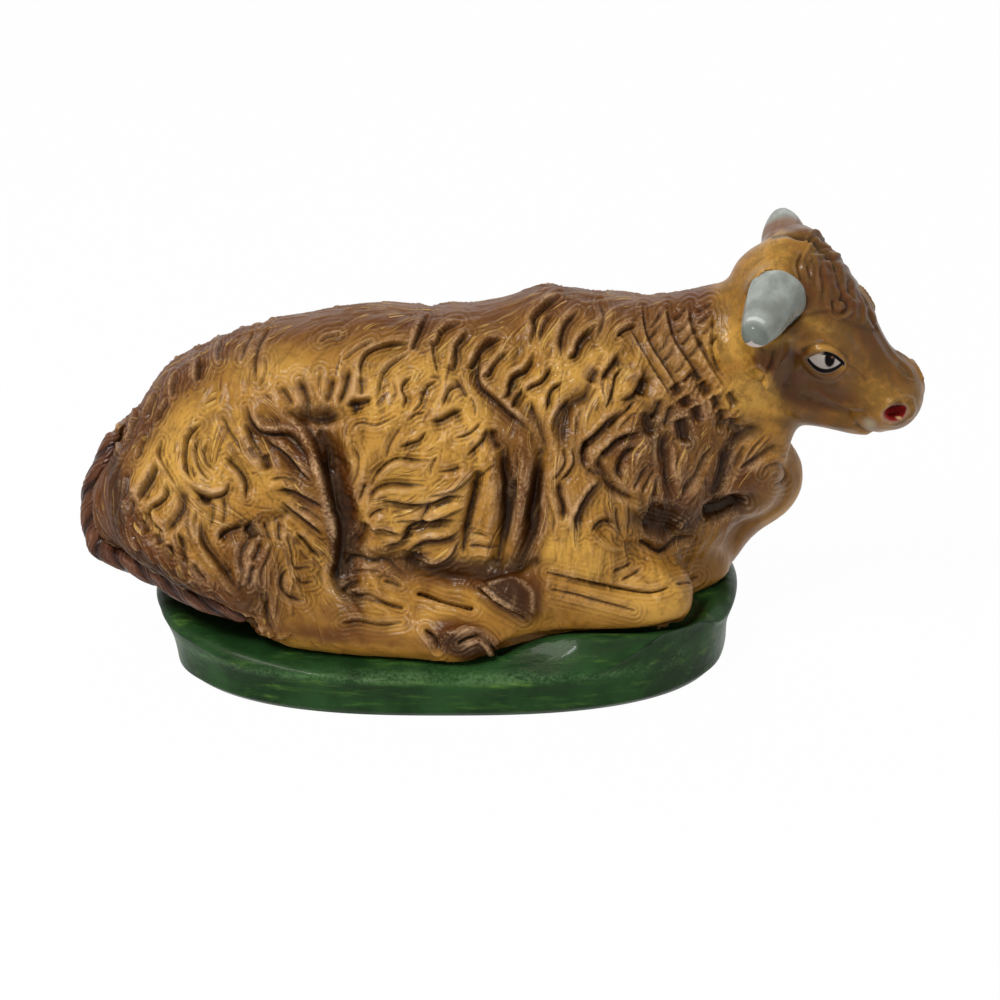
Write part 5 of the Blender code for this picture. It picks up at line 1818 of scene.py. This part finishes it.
tail_points, tail_hollow, tail_ridge = tail_mesh()
tail_faces = outward_faces(tail_points, tube_faces(TAIL_RINGS, TAIL_SIDES))
tail = mesh_object("twisted_tail", tail_points, tail_faces)
store(tail, hollow=tail_hollow, ridge=tail_ridge)
tail.data.materials.append(painted_tail())
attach(tail, "root")
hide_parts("tail")
print("tail of", len(tail_faces), "faces")

# %% [markdown]
# ## The horns
# Each horn is a short smooth cone with a blunt end, thick at its root. It was painted grey,
# with a darker tip, and the paint has chipped off its lower root down to the white ground.
# The form is a circle carried along the horn's axis while its radius follows a curve.

# %% Turn the horns
HORN_RINGS = 72
HORN_SIDES = 72
HORN_ROUND = 0.06


def horn_frame(node):
    """Root, direction and length of a CAD horn, from its corners' spread and its wide end."""
    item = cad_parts[node]
    corners = np.empty(len(item.data.vertices) * 3, np.float32)
    item.data.vertices.foreach_get("co", corners)
    corners = corners.reshape(-1, 3).astype(float)
    middle = corners.mean(axis=0)
    _, _, axes = np.linalg.svd(corners - middle, full_matrices=False)
    axis = axes[0]
    along = (corners - middle) @ axis
    aside = np.linalg.norm(corners - middle - along[:, None] * axis, axis=1)
    if aside[along > along.max() * 0.8].max() > aside[along < along.min() * 0.8].max():
        axis = -axis
        along = -along
    return middle + axis * along.min(), axis, along.max() - along.min(), aside.max()


def horn_mesh(node):
    """Rings along the axis: full at the root, drawn in smoothly and rounded at the tip."""
    root, axis, length, radius = horn_frame(node)
    share = np.linspace(0, 1, HORN_RINGS)[:, None]
    around = np.linspace(0, 2 * math.pi, HORN_SIDES, endpoint=False)[None, :]
    body = 1.06 * np.sqrt(1 - (0.96 * share) ** 2) * (1 - 0.11 * np.clip((share - 0.12) / 0.25, 0, 1))
    tip = round_end((share - 1 + HORN_ROUND) / HORN_ROUND)
    foot = round_end((HORN_ROUND - share) / HORN_ROUND)
    reach = radius * body * np.maximum(tip, 1e-4) * np.maximum(foot, 1e-4)
    reach = reach * (1 + 0.025 * np.cos(3 * around + 5 * share) + 0.012 * np.cos(7 * around - 9 * share))
    first = np.cross(axis, [0.0, 0.0, 1.0])
    first /= np.linalg.norm(first)
    second = np.cross(axis, first)
    points = (root + axis * (share * length)[..., None]
              + first * (reach * np.cos(around))[..., None] + second * (reach * np.sin(around))[..., None])
    along, below = np.broadcast_arrays(share, 0.5 + 0.5 * np.sin(around))
    return points.reshape(-1, 3), along.ravel(), below.ravel()


def painted_horn():
    """Grey with a darker tip, a painted highlight arc, brushed streaks and chips to the white ground below
    the tip.
    """
    material, tree, shader = new_paint("painted_horn", 0.25)
    place = object_place(tree)
    along = attribute(tree, "along")
    below = attribute(tree, "below")
    cloud = noise(tree, place, 330.0)
    body = blend(tree, between(tree, cloud, 0.3, 0.7), (0.215, 0.230, 0.200), (0.340, 0.365, 0.330))
    body = blend(tree, between(tree, along, 0.84, 0.92, 0.0, 0.75), body, (0.130, 0.155, 0.135))
    # A painted highlight: a thin pale arc on the upper side short of the tip, on the near horn only.
    rim = arithmetic(tree, "ABSOLUTE", arithmetic(tree, "SUBTRACT", along, 0.83))
    rim = product(tree, between(tree, rim, 0.035, 0.012), between(tree, below, 0.13, 0.04))
    apart = add_node(tree, "ShaderNodeSeparateXYZ", {0: place}).outputs
    crown_side = arithmetic(tree, "GREATER_THAN", apart[1], 0.0)
    rim = product(tree, rim, arithmetic(tree, "SUBTRACT", 0.8, crown_side, clamp=True))
    body = blend(tree, rim, body, (0.620, 0.630, 0.600))
    stained = product(tree, between(tree, along, 0.74, 0.52), crown_side)
    body = blend(tree, stained, body, (0.200, 0.105, 0.062))
    chips = arithmetic(tree, "MULTIPLY_ADD", noise(tree, place, 900.0, 4.0, 0.7), 0.8,
                       between(tree, below, 0.60, 0.95, 0.0, 0.60))
    towards_tip = between(tree, along, 0.50, 0.80, -1.10, 0.0)
    chipped = between(tree, arithmetic(tree, "ADD", chips, towards_tip), 0.78, 0.82)
    body = blend(tree, chipped, body, (0.70, 0.62, 0.58))
    join_paint(tree, shader, body, varnished(tree, product(tree, chipped, -0.8), 0.24, 0.5, 0.00015))
    return material


HORN_PAINT = painted_horn()
for node in ("near_horn", "far_horn"):
    horn_points, horn_along, horn_below = horn_mesh(node)
    horn_faces = outward_faces(horn_points, tube_faces(HORN_RINGS, HORN_SIDES))
    horn = mesh_object("painted_" + node, horn_points, horn_faces)
    store(horn, along=horn_along, below=horn_below)
    horn.data.materials.append(HORN_PAINT)
    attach(horn, "root")
    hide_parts(node)
print("horns of", len(horn_faces), "faces each")

# %% [markdown]
# ## The horn pins
# Two short wires hold the horns. They are inside, so the CAD pins stay and get a wire finish.

# %% Finish the pins
def drawn_wire():
    """Grey wire with fine scratches along it."""
    material = bpy.data.materials.new("pin_wire")
    material.use_nodes = True
    tree = material.node_tree
    shader = tree.nodes["Principled BSDF"]
    shader.inputs["Metallic"].default_value = 1.0
    place = object_place(tree)
    scratch = noise(tree, place, 5200.0, 2.0)
    grey = blend(tree, scratch, (0.38, 0.37, 0.35), (0.55, 0.55, 0.54))
    tree.links.new(grey, shader.inputs["Base Color"])
    tree.links.new(between(tree, scratch, 0.2, 0.8, 0.28, 0.48), shader.inputs["Roughness"])
    return material


PIN_WIRE = drawn_wire()
for node in ("near_horn_pin", "far_horn_pin"):
    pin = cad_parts[node]
    pin.data.materials.clear()
    pin.data.materials.append(PIN_WIRE)
print("pins finished")

# %% [markdown]
# ## The green base
# The base is a low mound with an upright wall, a soft rim and a groove where the clay was
# smoothed up against the animal. Its plan is a squared oval (a superellipse). The height is a
# function of the direction and of how far out a point lies, with slow waves from the fingers.

# %% Model the base
BASE_TURNS = 400
BASE_SQUARENESS = 2.6
BASE_FOOT = 0.0010
BASE_RIM = 0.0060
BASE_HEAD_END = 0.0108
BASE_TAIL_END = 0.0108
BASE_TAIL_DRAW = 0.060
BASE_HEAD_DRAW = 0.035
BASE_CROWN = 0.0088
EDGE_ROUND = 0.0014
BASE_GROOVE = ((500, 652), (540, 634), (580, 629), (640, 629), (686, 622), (704, 600))
# from the darkest green to the yellow green of the streaks
GREENS = ((0.008, 0.030, 0.008), (0.018, 0.064, 0.016), (0.052, 0.130, 0.022), (0.200, 0.270, 0.050))
# the painted shade in the groove, and the painted highlight along the rim
GREEN_GROOVE_SHADE = (0.006, 0.022, 0.006)
GREEN_RIM_HIGHLIGHT = (0.120, 0.240, 0.090)
# how high the near bank climbs, and where on the picture it starts and ends, with the slopes
BASE_BANK = 0.0108
BANK_LEFT = 470
BANK_LEFT_SLOPE = 110
BANK_RIGHT = 735
BANK_RIGHT_SLOPE = 40

base_low, base_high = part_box("base_mound")
base_half = ((base_high.x - base_low.x) / 2, (base_high.y - base_low.y) / 2)


def base_profile(turn):
    """Rings of the base from the middle of its underside, over the wall, to the crown.

    Each ring is a share of the plan's size and a height for every direction. The crown's last
    ring is a small opening under the animal.
    """
    head_end = np.clip(np.cos(turn), 0, 1) ** 2
    tail_end = np.clip(-np.cos(turn), 0, 1) ** 1.5
    rim = BASE_RIM + (BASE_HEAD_END - BASE_RIM) * head_end + (BASE_TAIL_END - BASE_RIM) * tail_end
    edge = EDGE_ROUND / base_half[1]
    flat_edge = 1 - 0.6 * BASE_FOOT / base_half[1]
    rings = [(share, 0 * turn) for share in (0.001, 0.30, 0.60, 0.85, flat_edge)]
    for height in np.linspace(0, 1, 15):
        waist = 1 - 0.010 * math.sin(math.pi * height)
        rings.append((waist, BASE_FOOT + (rim - EDGE_ROUND - BASE_FOOT) * height))
    for angle in np.radians([18, 36, 54, 72, 90]):
        rings.append((1 - edge * (1 - math.cos(angle)), rim - EDGE_ROUND * (1 - math.sin(angle))))
    for share in np.linspace(0.93, 0.02, 44):
        rise = math.cos(share * math.pi / 2) ** 0.8
        rings.append((share, rim + (BASE_CROWN - rim) * rise))
    return rings


def base_mesh():
    """The rings on the plan, drawn in at the foot of both ends, with finger waves on the wall.

    The near bank climbs to the forearm, and a groove follows the animal.
    """
    turn = np.linspace(0, 2 * math.pi, BASE_TURNS, endpoint=False)
    power = 2 / BASE_SQUARENESS
    plan = np.column_stack([np.sign(np.cos(turn)) * np.abs(np.cos(turn)) ** power * base_half[0],
                            np.sign(np.sin(turn)) * np.abs(np.sin(turn)) ** power * base_half[1]])
    points = []
    for number, (share, height) in enumerate(base_profile(turn)):
        on_wall = 5 <= number < 20
        wave = 0.006 * np.sin(5 * turn + 1.0) + 0.004 * np.sin(11 * turn) if on_wall else 0 * turn
        climb = np.clip((number - 4) / 15, 0, 1)
        drawn_in = np.where(np.cos(turn) < 0, BASE_TAIL_DRAW, BASE_HEAD_DRAW) * np.cos(turn) ** 2
        spread = np.clip(share * (1 - 0.006 + wave), 0, 1) * (1 - (1 - climb) * drawn_in)
        spread = spread[:, None] * plan
        points.append(np.column_stack([spread, height + 0 * turn]))
    points = np.array(points)
    flat = picture_place(points.reshape(-1, 3))
    top = np.clip((points[..., 2].ravel() - 0.0030) / 0.0020, 0, 1)
    inward = -points[..., 1].ravel()
    bank = np.clip((flat[:, 0] - BANK_LEFT) / BANK_LEFT_SLOPE, 0, 1)
    bank *= np.clip((BANK_RIGHT - flat[:, 0]) / BANK_RIGHT_SLOPE, 0, 1)
    bank *= np.clip((base_half[1] - 0.0003 - inward) / 0.0055, 0, 1)
    bank *= np.clip((inward - 0.006) / 0.006, 0, 1)
    bank = smooth_step(bank) * top
    points[..., 2] += ((BASE_BANK - points[..., 2].ravel()) * bank).reshape(points.shape[:2])
    flat = picture_place(points.reshape(-1, 3))
    groove = stroke_gap(flat, BASE_GROOVE)
    dent = 0.0004 * np.exp(-((groove - 9) / 6.0) ** 2) - 0.0006 * np.exp(-(groove / 4.0) ** 2)
    # The groove along the animal is painted dark: painted shade.
    hollow = np.exp(-(groove / 4.5) ** 2) * top
    points[..., 2] += (dent * top).reshape(points.shape[:2])
    return points.reshape(-1, 3), hollow, len(points)


def painted_base():
    """Dark green with long brushed streaks of yellow green, painted shade in the groove and painted
    highlight on the rim.
    """
    material, tree, shader = new_paint("painted_base", 0.06)
    place = object_place(tree)
    streaky = add_node(tree, "ShaderNodeMapping",
                       {"Vector": place, "Scale": (0.22, 1.0, 1.6)}).outputs[0]
    cloud = noise(tree, place, 120.0, 4.0)
    streak = noise(tree, streaky, 420.0, 4.0, 0.65)
    body = blend(tree, between(tree, cloud, 0.35, 0.68), *GREENS[:2])
    body = blend(tree, between(tree, streak, 0.52, 0.74, 0.0, 0.75), body, GREENS[2])
    body = blend(tree, between(tree, streak, 0.64, 0.80, 0.0, 0.6), body, GREENS[3])
    finish = varnished(tree, streak, 0.34, 1.4, 0.00022)
    join_paint(tree, shader, coated(tree, body, GREEN_GROOVE_SHADE, GREEN_RIM_HIGHLIGHT, 0.8), finish)
    return material


base_points, base_groove_shade, base_rings = base_mesh()
base_faces = outward_faces(base_points, tube_faces(base_rings, BASE_TURNS))
base = mesh_object("green_base", base_points, base_faces)
# A painted highlight along the rim's edge.
base_rim_highlight = np.exp(-((base_points[:, 2] - BASE_RIM) / 0.0006) ** 2) * 0.6
store(base, hollow=base_groove_shade, ridge=base_rim_highlight)
base.data.materials.append(painted_base())
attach(base, "root")
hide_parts("base_mound")
print("base of", len(base_faces), "faces")

# %% [markdown]
# ## Putting the skin together
# The skin is cut at the parting plane, as the real figurine was pressed, and each side once
# more behind the ribs, so that no piece is too heavy. The pieces share their border corners
# and normals, so no seam shows. A narrow lip goes in from each cut, and caps that nothing
# sees close the piece behind the lips.

# %% Cut the skin into its pieces
LIP_DEPTH = 0.00012
FULL_HAIR_DEPTH = 0.0004


def shared_edges(faces):
    """Each edge's two corners and the two faces that it lies between."""
    corners = np.vstack([faces[:, [0, 1]], faces[:, [1, 2]], faces[:, [2, 3]], faces[:, [3, 0]]])
    corners = np.sort(corners, axis=1)
    owner = np.tile(np.arange(len(faces)), 4)
    key = corners[:, 0] * (faces.max() + 1) + corners[:, 1]
    order = np.argsort(key, kind="stable")
    twice = np.flatnonzero(key[order][:-1] == key[order][1:])
    return corners[order][twice], owner[order][twice], owner[order][twice + 1]


def add_cap(work, rim):
    """Close one flat opening: its rim's edges, and a straight edge where the rim is open.

    Triangles fill it. Where they leave a part of the rim free, one face with all its corners
    takes their place.
    """
    on_rim = set(rim)
    corners = dict.fromkeys(corner for edge in rim for corner in edge.verts)
    ends = [corner for corner in corners if sum(edge in on_rim for edge in corner.link_edges) == 1]
    if len(ends) == 2:
        rim = rim + [work.edges.get(ends) or work.edges.new(ends)]
    made = bmesh.ops.triangle_fill(work, use_beauty=False, edges=rim)["geom"]
    cap = [face for face in made if isinstance(face, bmesh.types.BMFace)]
    if any(len(edge.link_faces) == 1 for edge in rim if edge.link_faces):
        bmesh.ops.delete(work, geom=cap, context="FACES_ONLY")
        stray = [edge for edge in work.edges if edge.is_wire and edge not in rim]
        bmesh.ops.delete(work, geom=stray, context="EDGES")
        cap = bmesh.ops.edgeloop_fill(work, edges=rim)["faces"]
    for face in cap:
        face.smooth = False
    meeting = next(edge for edge in rim if len(edge.link_loops) == 2)
    if meeting.link_loops[0].vert == meeting.link_loops[1].vert:
        bmesh.ops.reverse_faces(work, faces=cap)


def add_lip(work, corners, normals, ends):
    """A band of faces from the cut edges inwards. Returns the inner corner of each outer one."""
    inner = {}
    for number in np.unique(ends):
        place = corners[number].co - Vector(normals[number]) * LIP_DEPTH
        inner[number] = work.verts.new(place)
    for a, b in ends:
        edge = work.edges.get((corners[a], corners[b]))
        if edge.link_loops[0].vert != corners[a]:
            a, b = b, a
        band = work.faces.new((corners[b], corners[a], inner[a], inner[b]))
        band.smooth = False
    return inner


def closed_piece(name, kept, side_of_face):
    """A piece of the skin from its kept faces, with a lip and caps where it was cut."""
    used, numbers = np.unique(skin_faces[kept], return_inverse=True)
    numbers = numbers.reshape(-1, 4)
    item = mesh_object(name, carved_points[used], numbers)
    cut = np.flatnonzero(kept[first_face] != kept[second_face])
    other_side = side_of_face[first_face[cut]] != side_of_face[second_face[cut]]
    ends = np.searchsorted(used, edge_corners[cut])
    work = bmesh.new()
    work.from_mesh(item.data)
    inner = add_lip(work, list(work.verts), carved_normals[used], ends)
    for chosen in (other_side, ~other_side):
        add_cap(work, [work.edges.get((inner[a], inner[b])) for a, b in ends[chosen]])
    open_edges = sum(len(edge.link_faces) != 2 for edge in work.edges)
    work.to_mesh(item.data)
    work.free()
    used = np.concatenate([used, used[list(inner)]])
    material_numbers = np.zeros(len(item.data.polygons), np.int32)
    material_numbers[:len(numbers)] = of_head[kept]
    item.data.materials.append(HIDE_PAINT)
    item.data.materials.append(FACE_PAINT)
    item.data.polygons.foreach_set("material_index", material_numbers)
    store(item, hollow=hollow[used], ridge=ridge[used], brown=brown[used], gold=gold[used],
          hair=hair[used], lock_along=lock_along[used], lock_across=lock_across[used],
          lock_number=lock_number[used], drawn=drawn_share[used])
    corner_of_loop = np.empty(len(item.data.loops), np.int32)
    item.data.loops.foreach_get("vertex_index", corner_of_loop)
    sheet = item.data.uv_layers.new(name="drawing")
    sheet.data.foreach_set("uv", (drawing[used] / PICTURE)[corner_of_loop].astype(np.float32).ravel())
    item.data.normals_split_custom_set_from_vertices(carved_normals[used].tolist())
    item.data.calc_loop_triangles()
    print(name, "of", len(item.data.loop_triangles), "triangles,", open_edges, "open edges")
    return item


sideways = head_axes()[1]
beyond = (bare_points - POLL) @ sideways > 0
turned_normals = bare_normals - 2 * beyond[:, None] * (bare_normals @ sideways)[:, None] * sideways
drawn_share = np.clip(turned_normals @ VIEW_AXIS * 6, 0, 1) * head_share
hair = np.clip(coat_depth / FULL_HAIR_DEPTH, 0, 1) * off_head * (1 - lock_seam)
edge_corners, first_face, second_face = shared_edges(skin_faces)
face_middles = bare_points[skin_faces].mean(axis=1)
of_head = np.linalg.norm(face_middles - head_middle(), axis=1) < HEAD_REACH
side_of_face = np.where(face_middles[:, 1] < PARTING_Y, -1, 1)
for side, word in ((-1, "near"), (1, "far")):
    of_side = side_of_face == side
    middle = np.median(face_middles[of_side, 0])
    for label, kept in (("hind", of_side & (face_middles[:, 0] < middle)),
                        ("fore", of_side & (face_middles[:, 0] >= middle))):
        piece = closed_piece(f"{word}_{label}_hide", kept, side_of_face)
        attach(piece, "root")
        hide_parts(word + "_half_shell")
